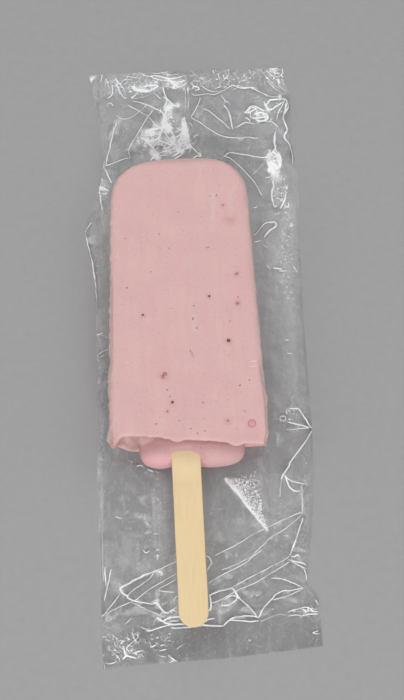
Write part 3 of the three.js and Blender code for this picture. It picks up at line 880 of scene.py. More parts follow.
def sculpt_cream(mesh):
    """Moves the skin along its normals, and marks where it is frosted and stained, where shade is painted,
    and where it is pinker with painted light.
    """
    points = vertex_array(mesh.vertices, "co") / MM
    normals = vertex_array(mesh.vertex_normals, "vector")
    x, _, z = points.T
    face = smoothstep(normals[:, 2], *FACE_TILT) * smoothstep(z, *FACE_HEIGHT)
    left = smoothstep(-normals[:, 0], *SIDE_TILT) * smoothstep(-x, *SIDE_X)
    right = smoothstep(normals[:, 0], *SIDE_TILT) * smoothstep(x, *SIDE_X)
    moved = points + normals * cream_relief(points, face, left, right)[:, None]
    shape_open_end(points, moved)
    set_vertices(mesh, moved + POP)
    looks = {
        "frost": cream_frost(points, normals, face, left, right),
        "stain": cream_stain(points, face),
        # the recess look is painted shade, and the blush look is pinker cream with painted light
        "painted_shade_in_recesses": cream_painted_shade(points, face),
        "blush": cream_pinker_and_painted_light(points),
    }
    for name, values in looks.items():
        set_attribute(mesh, name, np.clip(values, 0, 1))


# ---------- flecks in the cream ----------

# x and y on the face, length and width of each fleck that shows.
SEEDS = [
    (14.7, 33.7, 1.5, 1.35), (-5.2, 13.2, 1.1, 1.0), (-14.0, 44.2, 0.9, 0.8), (8.8, 49.8, 0.8, 0.9),
]
SPECKS = [
    (-5.9, 15.0, 0.5, 0.45), (-6.7, 17.4, 0.6, 0.5), (-6.9, 10.1, 0.45, 0.9), (-19.1, 54.2, 0.6, 0.5),
    (3.4, 46.6, 0.6, 0.45), (15.2, 83.3, 0.7, 0.55), (1.6, 30.5, 0.3, 0.9), (2.1, 29.5, 0.35, 0.8),
    (2.5, 28.6, 0.3, 0.7), (4.1, 38.6, 0.6, 0.5), (11.0, 87.0, 0.5, 0.45), (13.2, 87.2, 0.5, 0.4),
    (-3.1, 6.7, 0.45, 0.4), (2.7, 2.1, 0.45, 0.4), (5.2, 2.8, 0.5, 0.45), (0.6, 3.8, 0.45, 0.4),
    (-4.2, 68.0, 0.5, 0.45), (8.8, 67.6, 0.5, 0.5),
    (3.0, 42.0, 0.4, 1.2), (18.7, 8.9, 0.5, 0.45), (13.0, 86.8, 0.4, 0.4), (-0.5, 81.5, 0.5, 0.4),
]
PULP = [
    (-7.2, 23.0, 1.5, 1.3), (-8.1, 21.9, 1.1, 1.5), (18.6, 57.5, 1.3, 0.8), (18.3, 46.8, 1.3, 1.0),
    (18.6, 48.9, 0.5, 0.6), (12.9, 5.9, 0.8, 0.7), (17.5, 17.8, 0.7, 0.6), (20.8, 19.5, 0.6, 0.6),
    (9.6, 67.8, 0.5, 0.4), (-7.5, 73.5, 0.5, 0.5), (5.0, 12.5, 0.6, 0.5), (-19.4, 72.5, 0.5, 0.5),
    (-10.8, 5.9, 0.5, 0.45), (-10.7, 59.6, 0.5, 0.35), (7.4, 79.3, 0.4, 0.3), (15.4, 40.6, 0.5, 0.5),
]
FROST_SLIVERS = [
    (22.5, 26.0, 3.8, 0.35), (22.3, 24.2, 3.6, 0.3), (-16.4, 71.0, 0.9, 0.6), (-19.5, 27.5, 2.0, 0.25),
    (-22.0, 66.0, 0.4, 1.2),
]
SMALL_FLECKS = {"seed": 8, "speck": 130, "pulp": 60, "frost": 60}  # how many random ones of each kind
SMALLEST_FLECK, FLECK_SIZES = 0.12, 0.16  # the least size of a random one, and how much larger some are
SUNK = 0.45  # share of a fleck's thickness that lies below the surface
FLECK_THICKNESS = 0.55  # over the smaller of its length and width
FLECK_NET, FLECK_LUMPS = (5, 8), 0.28

# Small flecks are cast onto the cream from above, below, the left or the right: below which random
# number each of the first three is chosen, and where they start.
FROM_ABOVE, FROM_BELOW, FROM_LEFT = 0.68, 0.8, 0.9
CAST_X, CAST_LOWEST_Y, CAST_Z = (-25, 25), -8, (2, 22)
CAST_ABOVE, CAST_BELOW, CAST_ASIDE = 40, -20, 50


def fleck_shape(rng):
    """A small uneven lump of unit size."""
    points, faces = sphere_mesh(*FLECK_NET)
    lumps = 1 + FLECK_LUMPS * rng.uniform(-1, 1, len(points))
    return points * lumps[:, None], faces


def surface_frame(normal):
    """A turn that lays Z along the normal, and X along the world's as far as the surface lets it."""
    up = np.array(normal)
    ahead = np.cross(up, (1.0, 0.0, 0.0) if abs(up[0]) < 0.9 else (0.0, 0.0, -1.0))
    ahead /= np.linalg.norm(ahead)
    return np.array([np.cross(ahead, up), ahead, up])


def random_fleck(rng):
    """A small fleck: where it is cast from, which way, and its length and width."""
    side = rng.uniform()
    size = SMALLEST_FLECK + FLECK_SIZES * rng.uniform() ** 3
    y = rng.uniform(CAST_LOWEST_Y, BAR_LENGTH)
    if side < FROM_BELOW:
        z, way = (CAST_ABOVE, -1) if side < FROM_ABOVE else (CAST_BELOW, 1)
        return (rng.uniform(*CAST_X), y, z), (0, 0, way), (size, size)
    way = 1 if side < FROM_LEFT else -1
    return (-way * CAST_ASIDE, y, rng.uniform(*CAST_Z)), (way, 0, 0), (size, size)


def flecks_piece(name, material, named, count, seed, surface):
    """Uneven flecks set into the skin of the cream, the named ones first and then smaller ones."""
    rng = np.random.default_rng(seed)
    casts = [((x, y, CAST_ABOVE), (0, 0, -1), size) for x, y, *size in named]
    casts += [random_fleck(rng) for _ in range(count)]
    shells = []
    for start, way, (length, width) in casts:
        place, normal, _, _ = surface.ray_cast(Vector((start + POP) * MM), Vector(way))
        lump, faces = fleck_shape(rng)
        if place is None:
            continue
        thick = FLECK_THICKNESS * min(length, width)
        centre = np.array(place) / MM + np.array(normal) * thick * (0.5 - SUNK)
        sized = lump * (length / 2, width / 2, thick / 2)
        shells.append((sized @ surface_frame(normal) + centre, faces))
    return finished(mesh_object(name, *joined(shells)), material)


# ---------- the stick ----------

STICK_ROUND_POINTS, STICK_SIDE_POINTS, STICK_EDGE_RINGS = 40, 160, 9
STICK_FLAT_RINGS = (0.5, 1.1, 1.8, 2.6, 3.4)  # how far inside the eased edge each lies
STICK_WORN = 0.12  # how far the sides lie inside the stick's full width
STICK_SHARP_ANGLE = 40


def stick_outline(half_width, straight):
    """The stick seen from above, anticlockwise: its right side, its upper end, and both again turned."""
    turns = np.linspace(0, math.pi, STICK_ROUND_POINTS)
    side = np.linspace(-straight, straight, STICK_SIDE_POINTS)[1:-1]
    half = [(half_width, y) for y in side]
    half += [(half_width * math.cos(turn), straight + half_width * math.sin(turn)) for turn in turns]
    return np.array(half + [(-x, -y) for x, y in half])


def stick_piece():
    """The flat stick with round ends and eased edges, a little uneven along its sides."""
    half_width, half_thickness = STICK_WIDTH / 2, STICK_THICKNESS / 2
    straight = STICK_LENGTH / 2 - half_width
    outline = stick_outline(half_width, straight)
    past_side = np.maximum(np.abs(outline[:, 1]) - straight, 0)
    inward = -np.stack([outline[:, 0], np.sign(outline[:, 1]) * past_side], axis=1)
    inward /= np.linalg.norm(inward, axis=1)[:, None]
    worn = STICK_WORN + uneven(at_level(*outline.T), "stick sides")
    outline = outline + inward * worn[:, None]
    rings = []
    for turn in np.linspace(-math.pi / 2, math.pi / 2, STICK_EDGE_RINGS):
        inset = STICK_EASED_EDGE * (1 - math.cos(turn))
        height = math.copysign(half_thickness - STICK_EASED_EDGE, turn) + STICK_EASED_EDGE * math.sin(turn)
        rings.append((inset, height if abs(turn) > 1e-9 else 0.0))
    flat = [(STICK_EASED_EDGE + depth, half_thickness) for depth in STICK_FLAT_RINGS]
    rings = [(inset, -height) for inset, height in flat[::-1]] + rings + flat
    points = np.concatenate([at_level(*(outline + inward * inset).T, height) for inset, height in rings])
    points[:, 2] += uneven(points, "wood grain") * np.sign(points[:, 2])
    count = len(outline)
    faces = []
    for ring in range(len(rings) - 1):
        faces += band_faces(ring * count, count)
    faces.append(tuple(range(count))[::-1])
    faces.append(tuple(range(len(points) - count, len(points))))
    slope = (TIP_THICKNESS - BASE_THICKNESS) / 2 / BAR_LENGTH
    middle = STICK_LENGTH / 2 - STICK_REACH
    leaning = Matrix.Rotation(math.atan(slope), 3, "X")
    turn = np.array(Matrix.Rotation(math.radians(STICK_TURN), 3, "Z") @ leaning)
    place = (STICK_X - STICK_ASIDE, middle, BASE_THICKNESS / 2 + slope * middle)
    made = mesh_object("wooden_stick", points @ turn.T + place, faces, POP)
    return finished(made, wood_material(), STICK_SHARP_ANGLE)


# ---------- the clear bag ----------

FILM_TOP, FILM_BOTTOM = 0.45, 0.08  # heights of the two layers where the bag lies flat
CRIMP_TOP, CRIMP_BOTTOM = 98.6, -95.9  # where the crimped ends begin

# The bag's outline seen from above, clockwise from its top left: straight or curved runs, and their points.
BAG_RUNS = [
    ("straight", [(-36.8, 109), (36.9, 108), (36.9, 102.2)]),
    ("curved", [(38.4, 95.5), (38.5, 75.1), (39.6, 58.3)]),
    ("curved", [(38.1, 15), (38.1, -31.2), (36.5, -60.2), (32.8, -84)]),
    ("straight", [(36.7, -90.2), (36.6, -105.9), (4.1, -108.4), (-23.7, -109), (-37.1, -110.2)]),
    ("curved", [
        (-37.3, -92.8), (-37.3, -70), (-37.6, -48), (-36.7, -20), (-36.5, 19), (-37.0, 27.3),
        (-37.9, 33.2), (-39.0, 39.3), (-39.8, 46.3),
    ]),
    ("curved", [(-32.4, 71.3), (-36.1, 104.8)]),
]

# The creases that show: whiteness of the highlight painted along each, half width in pixels, height in
# millimetres, and the route of each, given in pixels of the photograph.
CREASES = [
    # the flap at the top left
    (1, 0.8, 3, [(105, 164.5), (108, 155), (116, 122)]),
    (0.8, 0.6, 2, [(105, 165), (115, 163.5), (130, 156)]),
    (0.9, 0.6, 2.5, [(130, 156), (129, 151), (133, 142), (152, 109)]),
    (0.6, 1, 0, [(127, 153), (130, 152)]),
    (1, 0.8, 2, [(104, 160), (104, 167), (111, 181.5)]),
    (0.7, 0.6, 1, [(128, 105), (146, 116), (172, 141)]),
    (0.5, 0.5, 0.6, [(117, 116), (120, 119), (125, 119.5), (132, 117), (147, 106)]),
    (0.8, 0.7, 0.4, [(107, 106), (108, 103.5), (111, 103.5), (113, 106)]),
    (0.4, 0.7, 0, [(97, 121.5), (99, 121.5)]),
    (0.5, 0.7, 0, [(97, 124), (99, 124)]),
    # the crimp at the top left
    (1, 0.7, 0.3, [(90, 77), (90, 84.5)]),
    (0.6, 0.6, 0, [(91, 77), (93.5, 73)]),
    (0.8, 0.7, 0.3, [(101, 81), (102.5, 72.5)]),
    (0.4, 0.6, 0, [(105, 87), (106, 79), (109, 88)]),
    (0.7, 0.7, 0.2, [(113, 82), (115, 80), (118, 83)]),
    (0.9, 0.8, 0.3, [(116, 79), (124, 89)]),
    (0.9, 0.7, 0.3, [(117, 85), (123, 97), (126, 98)]),
    (0.6, 0.6, 0, [(118, 91), (121, 95)]),
    (0.7, 0.7, 0.2, [(112, 86), (112.5, 92), (111, 96), (108, 98)]),
    (0.5, 0.5, 0, [(125, 76), (140, 78.5)]),
    (0.6, 0.5, 0, [(124, 80), (132, 79.5)]),
    (0.9, 0.8, 0.2, [(133, 74), (137, 72), (141, 72), (144, 75), (149, 76)]),
    (1, 0.9, 0, [(137, 71.5), (141, 71.5)]),
    (1, 1, 0.5, [(149, 76), (156, 75), (163, 77), (170, 80), (178, 87)]),
    (1, 0.8, 0.2, [(153, 73), (160, 73), (166, 71), (172, 70), (183, 69.5)]),
    (1, 0.8, 0.2, [(160, 76), (168, 78), (176, 78), (183, 76)]),
    (0.5, 0.6, 0, [(165, 72.5), (170, 75), (178, 74)]),
    (0.8, 0.7, 0.2, [(171, 81), (177, 82), (185, 80)]),
    (0.7, 0.7, 0, [(174, 84), (180, 83), (186, 81)]),
    (0.8, 0.7, 0, [(177, 87), (183, 86), (186, 83)]),
    (0.8, 0.7, 0.2, [(150, 76), (156, 79), (170, 81)]),
    (0.8, 0.7, 0, [(163, 86), (174, 88)]),
    (1, 1.2, 0, [(173, 87.5), (176, 88.5)]),
    (1, 2.4, 0.4, [(133, 86.5), (138, 90), (150, 90.5)]),
    (1, 1.2, 0.3, [(144, 86), (150, 85), (158, 85.5), (149, 91)]),
    (0.9, 0.9, 0.2, [(132, 98), (136, 94.5)]),
    (0.4, 0.5, 0, [(131, 99), (140, 98), (155, 93)]),
    (0.7, 0.7, 0.4, [(155, 93), (161, 99)]),
    (0.7, 0.6, 0, [(190, 69), (193, 73), (196, 75)]),
    (0.8, 0.8, 0, [(192, 84), (196, 88)]),
    (0.9, 0.9, 0.2, [(188, 87), (188, 93)]),
    (0.4, 0.5, 0.2, [(185.5, 90), (185.5, 110)]),
    (0.4, 0.5, 0.2, [(188.5, 94), (188.5, 112)]),
    # the crumpled film above the bar
    (0.9, 0.8, 1.5, [(131, 100), (143, 103), (160, 111), (164, 117), (167, 124), (175, 138), (172, 145)]),
    (1, 0.9, 1.5, [(163, 86), (164, 91), (166, 96), (171, 103), (176, 106), (179, 106)]),
    (0.9, 0.8, 0.6, [(164, 97), (167, 101), (164, 108)]),
    (1, 1.2, 2, [(167, 106), (161, 133), (157, 139), (150, 141), (142, 137)]),
    (1, 1.2, 0.8, [(160, 129), (166, 129), (172, 128)]),
    (0.9, 1, 0.5, [(162, 131), (168, 127)]),
    (0.9, 1.5, 0, [(147, 133), (152, 130.5), (158, 130)]),
    (1, 1, 1.5, [(145, 140), (158, 153)]),
    (1, 1.4, 0.8, [(158, 153), (151, 159)]),
    (0.8, 0.8, 0.6, [(160, 142), (177, 146)]),
    (0.8, 0.7, 0.5, [(160, 141), (154, 148)]),
    (0.8, 0.7, 0.4, [(168, 148), (172, 145), (177, 146), (176, 150), (180, 152)]),
    (0.7, 0.7, 0.3, [(160, 153), (166, 151), (170, 151.5)]),
    (0.6, 0.6, 0.3, [(161, 156), (167, 155)]),
    (1, 1.1, 0.4, [(173, 156), (182, 151), (181, 155), (175, 158)]),
    (0.9, 0.7, 2, [(184.5, 116), (190, 146)]),
    (0.7, 0.9, 0.5, [(176, 138), (183, 135), (188, 140)]),
    (0.6, 0.8, 0.3, [(178, 129), (183, 133)]),
    (0.8, 0.7, 0.5, [(190, 145), (191, 148), (189, 153)]),
    (0.9, 0.7, 0.8, [(190, 145), (201, 156)]),
    (0.9, 1, 0.3, [(200, 153), (201, 157), (197, 156), (193, 158)]),
    (0.9, 0.8, 0.3, [(193.5, 139), (195, 137), (198, 136)]),
    # the top right
    (0.9, 0.6, 1.5, [(191, 115.5), (194, 112), (199, 103), (200, 96)]),
    (0.95, 0.7, 3, [
        (191, 115.5), (212, 131), (218, 134.5), (225, 137), (234, 138), (243, 138), (258, 135.5),
    ]),
    (0.8, 0.6, 1.5, [(203, 110), (207, 110), (230, 128)]),
    (0.4, 0.5, 0.4, [(197, 107), (203, 110)]),
    (1, 0.9, 2, [(232.5, 127.5), (229, 113), (224, 104)]),
    (0.6, 0.6, 0.5, [(224, 104), (225, 101), (229, 103), (230, 107)]),
    (0.6, 0.6, 0.5, [(221, 94), (224, 99), (228, 103)]),
    (0.9, 0.8, 1.5, [(236, 127), (245, 123), (254, 123)]),
    (0.9, 1.2, 0.3, [(246, 119), (249, 121), (250, 123)]),
    (1, 0.9, 1, [(245, 113), (248, 109), (251, 106.5), (256, 106.5), (264, 110)]),
    (0.9, 0.8, 0.5, [(245, 113), (250, 112), (255, 109.5), (256, 108.5), (251, 108.5), (248, 111)]),
    (1, 1.5, 0.6, [(257, 120), (262, 121), (267, 119), (268, 116)]),
    (0.9, 1.2, 0.4, [(255, 114), (261, 112.5), (266, 114)]),
    (0.8, 1, 0.3, [(252, 118), (260, 118), (268, 116)]),
    (1, 1.3, 0.6, [(264, 105), (267, 104), (269, 101), (271, 99.5), (281, 99.5)]),
    (1, 1.4, 0.5, [(264, 102), (268, 109), (272, 109)]),
    (0.9, 0.9, 0.8, [(272, 109), (282, 103)]),
    (0.6, 0.7, 1, [(285, 101), (278, 113), (277, 120)]),
    (1, 0.9, 2, [(281, 97.5), (285, 99), (287.5, 102), (288, 108), (283, 117), (285, 123), (288, 129)]),
    (1, 1.3, 0, [(286, 106), (285.5, 111), (284, 116)]),
    (1, 1.2, 1, [(287, 131), (284, 136), (286, 140)]),
    (0.9, 0.7, 1.5, [(286, 139), (289, 143), (291, 149), (292.5, 155), (293, 163)]),
    (0.7, 0.6, 0.8, [(267, 121), (272, 121.5), (278.5, 127)]),
    (1, 0.8, 2.5, [
        (276, 130), (274, 136), (274, 142), (275, 147), (273, 151), (265, 157.5), (234, 153), (228, 153),
        (224, 155),
    ]),
    (0.8, 1.3, 0, [(275, 136), (274.5, 143), (275, 149)]),
    (0.5, 1.2, 0.3, [(276, 147), (275, 152), (279, 156), (281, 162), (280, 168)]),
    (0.85, 0.6, 2, [(224, 155), (230, 158), (236, 163), (246, 173), (255, 183), (262, 194)]),
    (0.25, 0.6, 0.3, [(262, 194), (264, 199)]),
    # the crimp at the top right
    (0.8, 0.7, 0.8, [
        (192, 93), (196, 94.5), (208, 93), (215, 93.5), (225, 89), (232, 84.5), (240, 87), (246, 87.5),
        (251, 87), (268, 95),
    ]),
    (1, 1, 0, [(241, 87), (246, 88), (252, 87.5), (257, 89)]),
    (0.7, 0.6, 0.3, [(200, 85), (208, 90), (214, 91.5), (219, 91)]),
    (0.6, 0.6, 0.2, [(232, 90), (236, 88), (240, 87)]),
    (0.5, 0.6, 0.2, [(266, 96), (284, 98.5)]),
    (0.9, 1, 0.2, [(192, 88), (194, 86), (198, 87), (199, 89), (195, 90)]),
    (1, 0.9, 0.2, [(187.5, 88), (188, 91)]),
    (1, 0.9, 0.2, [(215.5, 70), (218, 67.5), (223, 66.5)]),
    (0.9, 0.8, 0.2, [(213, 70), (213.5, 73)]),
    (1, 0.8, 0, [(232, 66), (236, 66)]),
    (0.5, 0.6, 0, [(226.5, 66), (226.5, 70)]),
    (0.4, 0.7, 0, [(229, 66), (228, 76)]),
    (0.8, 0.8, 0.2, [(224, 80), (228, 75)]),
    (0.7, 0.6, 0, [(218, 73), (219, 78)]),
    (0.8, 0.7, 0, [(223, 75), (224.5, 80)]),
    (0.6, 0.6, 0, [(219, 83), (220, 86), (217, 88), (221, 87)]),
    (0.8, 0.9, 0, [(242, 81), (245, 80)]),
    (0.6, 0.7, 0, [(249, 70), (251, 74), (253, 76)]),
    (0.5, 0.7, 0, [(198, 69), (198.5, 70)]),
    (0.5, 0.7, 0, [(205, 69), (205.5, 70)]),
    (0.4, 0.5, 0, [(200, 73), (200, 76)]),
    (1, 0.8, 0.2, [(270, 66), (271, 69), (275, 67), (279, 66), (281, 64), (283, 72), (281, 75), (285, 77)]),
    (0.8, 0.7, 0.2, [(272, 70), (276, 68), (280, 70)]),
    (0.8, 0.7, 0.2, [(266, 69), (268, 72), (274, 77), (273, 79)]),
    (0.8, 0.7, 0, [(274, 75), (277, 73), (280, 74)]),
    (0.45, 0.6, 0.2, [(268, 82), (280, 92), (287, 95)]),
    (0.6, 0.6, 0.2, [(280, 86), (286, 92)]),
    (0.35, 0.6, 0.2, [(258, 66), (266, 76), (274, 84)]),
    (0.35, 0.6, 0.2, [(262, 72), (270, 82), (279, 88)]),
    (0.5, 0.6, 0.2, [(249, 93), (252, 95), (254, 94)]),
    (0.5, 0.6, 0.2, [(250, 99), (256, 97.5), (260, 95.5)]),
    # down the right side
    (0.5, 1.3, 0.3, [(273, 154), (277, 157), (279, 162), (279, 168)]),
    (0.4, 1.6, 0.2, [(271, 164), (279, 169)]),
    (0.4, 1.2, 0.3, [(266, 162), (273, 174)]),
    (0.3, 1.3, 0.3, [(264, 165), (252, 176)]),
    (0.8, 0.8, 0, [(266, 178), (269, 177.5)]),
    (1, 1, 2, [(273, 180), (273.5, 186), (272, 191), (272, 197), (273, 200)]),
    (0.7, 0.8, 0.5, [(273, 200), (273.5, 204), (275, 207), (277, 206)]),
    (1, 1, 0.3, [(287.5, 186), (286.5, 189)]),
    (0.9, 0.8, 0.2, [(285, 191), (287, 193)]),
    (1, 1.1, 0.5, [(286, 193), (284, 202), (281, 208)]),
    (0.8, 0.8, 0.2, [(288, 203), (288.5, 207), (285, 206)]),
    (0.7, 1, 0.2, [(277, 214), (279, 213)]),
    (0.5, 0.8, 0.2, [(280, 187), (284, 188)]),
    (0.8, 1, 0.3, [(251, 207), (255, 207.5), (257, 206.5)]),
    (0.9, 0.7, 1.5, [(251, 233), (256, 233), (265, 223), (273, 221.5)]),
    (1, 1.1, 1.5, [(272, 221.5), (275, 222), (276, 225), (274, 228), (270, 230), (265, 235.5)]),
    (0.8, 0.8, 0.6, [(252, 242), (262, 240)]),
    (0.7, 0.7, 0.5, [(263, 244), (268, 248)]),
    (0.9, 1, 0.4, [(274, 268), (281, 269)]),
    (0.6, 0.9, 0.3, [(280, 271), (285, 271)]),
    (0.4, 0.9, 0.3, [(266, 264), (270, 269)]),
    (0.5, 1, 0.3, [(293, 266), (297, 272)]),
    (0.8, 0.8, 0.2, [(285, 340), (289, 340)]),
    (0.7, 0.6, 0.2, [(287, 353), (292, 353.5)]),
    (0.9, 0.9, 1, [(290, 408.5), (297, 409), (300, 411), (308, 423), (312, 427)]),
    (0.5, 0.8, 0.2, [(287, 409), (286, 412), (287, 414)]),
    (0.7, 0.7, 0.3, [(280, 416.5), (285, 416.5), (285, 420.5), (280.5, 420.5), (280, 417)]),
    (0.9, 0.8, 1, [(288, 422), (309, 427.5)]),
    (0.7, 0.8, 0.8, [(288, 429.5), (305, 428.5), (310, 427.5)]),
    (1, 0.8, 2.5, [(312, 430), (306, 441), (291, 461), (289, 466), (283, 475), (281.5, 479)]),
    # the lower right
    (0.25, 0.9, 0.5, [(281, 480), (280, 498)]),
    (1, 0.9, 1, [(285.5, 477), (289, 486), (292, 489), (296, 491), (300, 491)]),
    (0.6, 0.6, 0.5, [(286, 478), (291, 481), (307, 485)]),
    (0.4, 0.6, 0.2, [(303, 480), (307, 483)]),
    (0.3, 1, 0.8, [(302, 485), (302.5, 513)]),
    (0.6, 0.8, 0, [(301, 494.5), (302, 495)]),
    (0.6, 0.5, 1.5, [(303, 513), (296, 514), (270, 526)]),
    (0.45, 0.5, 1, [(270, 526), (250, 536)]),
    (0.8, 0.55, 2, [(250, 536), (236, 545), (215, 555)]),
    (0.6, 0.5, 1.5, [(303, 514), (285, 529), (270, 538), (262, 546), (247, 559), (222, 570)]),
    (0.9, 0.8, 0, [(222, 570), (225, 569)]),
    (0.65, 0.6, 1.5, [(262, 550), (252, 557), (248, 561), (240, 566), (218, 577), (209, 583)]),
    (0.95, 0.7, 2.5, [(303, 518), (291, 553)]),
    (1, 0.9, 0, [(295, 543), (293, 549)]),
    (0.8, 0.8, 0.3, [(291, 556), (294, 557), (297, 555), (299, 556)]),
    (0.7, 0.7, 0.3, [(289, 560), (294, 561)]),
    (0.7, 0.8, 0.5, [(290, 561), (302, 563), (306, 565)]),
    (0.9, 0.8, 0.5, [(292, 562), (306, 569)]),
    (0.7, 0.8, 0.5, [(304, 569), (306, 574), (306.5, 580)]),
    (0.65, 0.6, 2, [(290, 555), (284, 560), (245, 580), (230, 588.5)]),
    (0.65, 0.6, 2, [(289, 562), (262, 579), (250, 585), (240, 589), (222, 599), (212, 603)]),
    (0.9, 0.8, 1, [(209, 596), (214, 593), (230, 588.5), (234, 590), (237, 595), (240, 598)]),
    (1, 1.2, 0.5, [(233, 590), (237, 595), (238, 598)]),
    (0.9, 0.9, 0.8, [(237, 596), (236, 600), (232, 603), (228, 605), (223, 605.5)]),
    (0.9, 0.8, 0.5, [(238, 597), (233, 596), (229, 597), (226, 599)]),
    (0.9, 0.7, 1.5, [(238, 597), (250, 608), (257, 617)]),
    (0.8, 0.7, 1, [(229, 620), (235, 617), (250, 616), (258, 617.5)]),
    (0.9, 0.7, 1.5, [
        (258, 617.5), (260, 616), (262, 611), (266, 605), (273, 598), (275, 595), (284, 590.5),
        (290, 590.5), (303, 588),
    ]),
    (0.6, 0.5, 0.2, [(230, 619), (238, 618), (246, 618)]),
    (0.7, 0.6, 1, [(273, 600), (287, 596), (299, 591), (303, 588.5)]),
    (0.7, 0.6, 1, [(303.5, 587.5), (287, 580.5), (280, 578.5), (272, 578.5)]),
    (0.9, 0.9, 0.4, [(224, 625.5), (227, 622), (232, 620), (250, 621.5), (258, 621)]),
    (0.4, 0.6, 0.3, [(262, 621), (278, 614.5), (286, 615)]),
    (1, 1.2, 0.3, [(202, 625), (216, 626), (224, 625.5)]),
    (0.9, 1, 0.3, [(200, 626), (207, 620), (214, 618.5)]),
    (1, 1, 0.8, [(209, 595), (210.5, 600), (211, 605), (210.5, 609), (208, 611)]),
    (0.8, 0.8, 0.5, [(207, 556), (210, 558), (211, 563), (207, 570)]),
    (0.8, 0.7, 0.2, [(288, 612), (293, 610), (299, 609), (303, 607.5), (309, 608), (313, 611), (318, 612)]),
    (0.7, 0.7, 0.2, [(288, 616), (295, 615), (303, 615.5), (310, 614), (318, 614)]),
    (0.9, 1.1, 0, [(293, 611), (295, 611)]),
    (0.9, 1.1, 0, [(304, 611), (306, 611)]),
    (0.9, 1, 0, [(311, 611), (313, 611.5)]),
    (0.9, 1, 0.2, [(316, 601), (318, 604)]),
    (0.9, 0.9, 0, [(249, 640.5), (250, 640.5)]),
    (0.8, 0.8, 0.2, [(286, 536), (288.5, 536.5)]),
    (0.5, 0.8, 0, [(273, 609), (274, 609)]),
    (0.6, 0.7, 0.2, [(318, 631), (313, 633), (318, 634)]),
    (0.5, 0.9, 0, [(217, 509), (221, 509)]),
    (0.7, 1.6, 0.5, [(225, 479), (237, 492)]),
    (0.95, 1.3, 0.5, [(237, 492), (252, 512)]),
    (0.4, 1.1, 0.4, [(252, 512), (258, 520), (268, 530)]),
    # the lower left
    (0.7, 0.7, 0.2, [(129, 461), (132, 462), (131, 464)]),
    (1, 0.9, 0.3, [(137, 466), (141, 465.5), (144, 468)]),
    (1, 1.1, 0.3, [(148, 469.5), (153, 471.5)]),
    (0.6, 0.6, 0.2, [(155, 471), (160, 473)]),
    (0.7, 0.8, 0.3, [(116, 517), (122, 519)]),
    (0.3, 0.8, 0.3, [(123, 515), (128, 511)]),
    (0.8, 0.8, 0.2, [(144, 551), (146, 553), (149, 551)]),
    (0.9, 1, 0.2, [(157, 550), (159, 549.5)]),
    (0.6, 1, 0.2, [(155, 558), (158, 555), (157, 560)]),
    (0.5, 1, 0.2, [(155, 534), (159, 534)]),
    (0.4, 0.5, 0.3, [(102, 530), (103.5, 582)]),
    (0.9, 0.7, 0.6, [(105, 568), (106, 586)]),
    (0.8, 0.7, 0.5, [(111.5, 570), (104.5, 600)]),
    (0.8, 0.6, 2.5, [(176, 561), (160, 569), (147, 574)]),
    (1, 1.1, 3, [
        (147, 574), (134, 580), (130, 583), (122, 587), (120.5, 589.5), (123, 593.5), (127, 596),
        (127, 598),
    ]),
    (0.6, 0.6, 0.5, [(163, 571), (146, 574), (141, 577)]),
    (0.8, 0.8, 0.3, [(158, 572), (162, 573), (162, 575)]),
    (0.7, 0.5, 1.5, [(154, 573), (148, 580), (132, 591), (127, 598)]),
    (0.7, 0.5, 2, [(176, 574), (168, 578), (150, 589), (136, 600), (133, 601)]),
    (0.7, 0.5, 1, [(176, 579), (163, 587), (160, 588), (159, 591)]),
    (0.8, 0.6, 0.5, [(159, 591), (174, 592.5)]),
    (0.65, 0.5, 1.5, [(120.5, 594), (104, 615), (101, 617)]),
    (0.5, 0.6, 0.8, [(133, 601), (112, 611), (107, 615)]),
    (0.9, 0.8, 0, [(100.5, 616.5), (104, 615)]),
    (0.9, 0.7, 1.5, [(127, 598), (133, 600.5), (139, 602), (152, 604)]),
    (1, 1.1, 1.5, [(152, 604), (157, 603), (163, 611), (168, 613)]),
    (0.8, 0.8, 0.5, [(168, 613), (172, 610), (175, 611)]),
    (0.8, 0.8, 0.3, [(171, 613), (174, 609), (176, 608)]),
    (0.7, 0.5, 1, [(131, 602), (163, 617)]),
    (1, 1, 0.4, [(159, 619), (163, 621), (170, 617.5), (180, 617)]),
    (1, 1.2, 0.4, [(163, 622), (168, 624), (175, 624.5), (184, 624)]),
    (0.8, 0.7, 0.2, [(170, 621), (178, 621)]),
    (0.9, 1, 0, [(158, 618), (160, 620)]),
    (0.9, 0.9, 0.4, [(146, 631), (152, 630.5), (161, 627), (172, 625)]),
    (0.9, 0.9, 0.3, [(172, 628), (180, 628), (200, 626)]),
    (0.7, 0.7, 0.3, [(142, 628), (147, 629.5), (151, 629)]),
    (0.7, 0.8, 0.5, [(125, 624), (131, 619)]),
    (0.9, 0.7, 0.3, [(176, 597), (174, 600)]),
    (0.4, 0.6, 0, [(147, 594), (150, 594)]),
    # the crimp at the bottom left
    (1, 1.1, 0, [(132.5, 634), (133, 636)]),
    (0.8, 1, 0, [(127, 638), (130, 640)]),
    (0.6, 1, 0, [(137, 635), (138, 636)]),
    (0.8, 0.7, 0.2, [(138, 638), (127, 647), (128, 650)]),
    (1, 1, 0.2, [(124, 648), (124.5, 653), (126, 656), (124, 659)]),
    (1, 1, 0.2, [(123, 659), (127, 656), (135, 658)]),
    (1, 1.2, 0, [(138, 658), (139, 655)]),
    (0.8, 0.9, 0, [(138, 652), (142, 650.5)]),
    (0.7, 0.8, 0, [(141, 655), (143, 657)]),
    (0.8, 0.8, 0, [(134, 653), (137, 652)]),
    (0.5, 0.5, 0.2, [(101, 637), (101.5, 655), (103, 658)]),
    (0.5, 0.6, 0, [(101, 637), (107, 637)]),
    (0.6, 0.8, 0, [(107, 640), (110, 641)]),
    (0.5, 0.8, 0, [(101, 650), (103, 656)]),
    (0.6, 0.6, 0.2, [(110, 650), (118, 657), (120, 661)]),
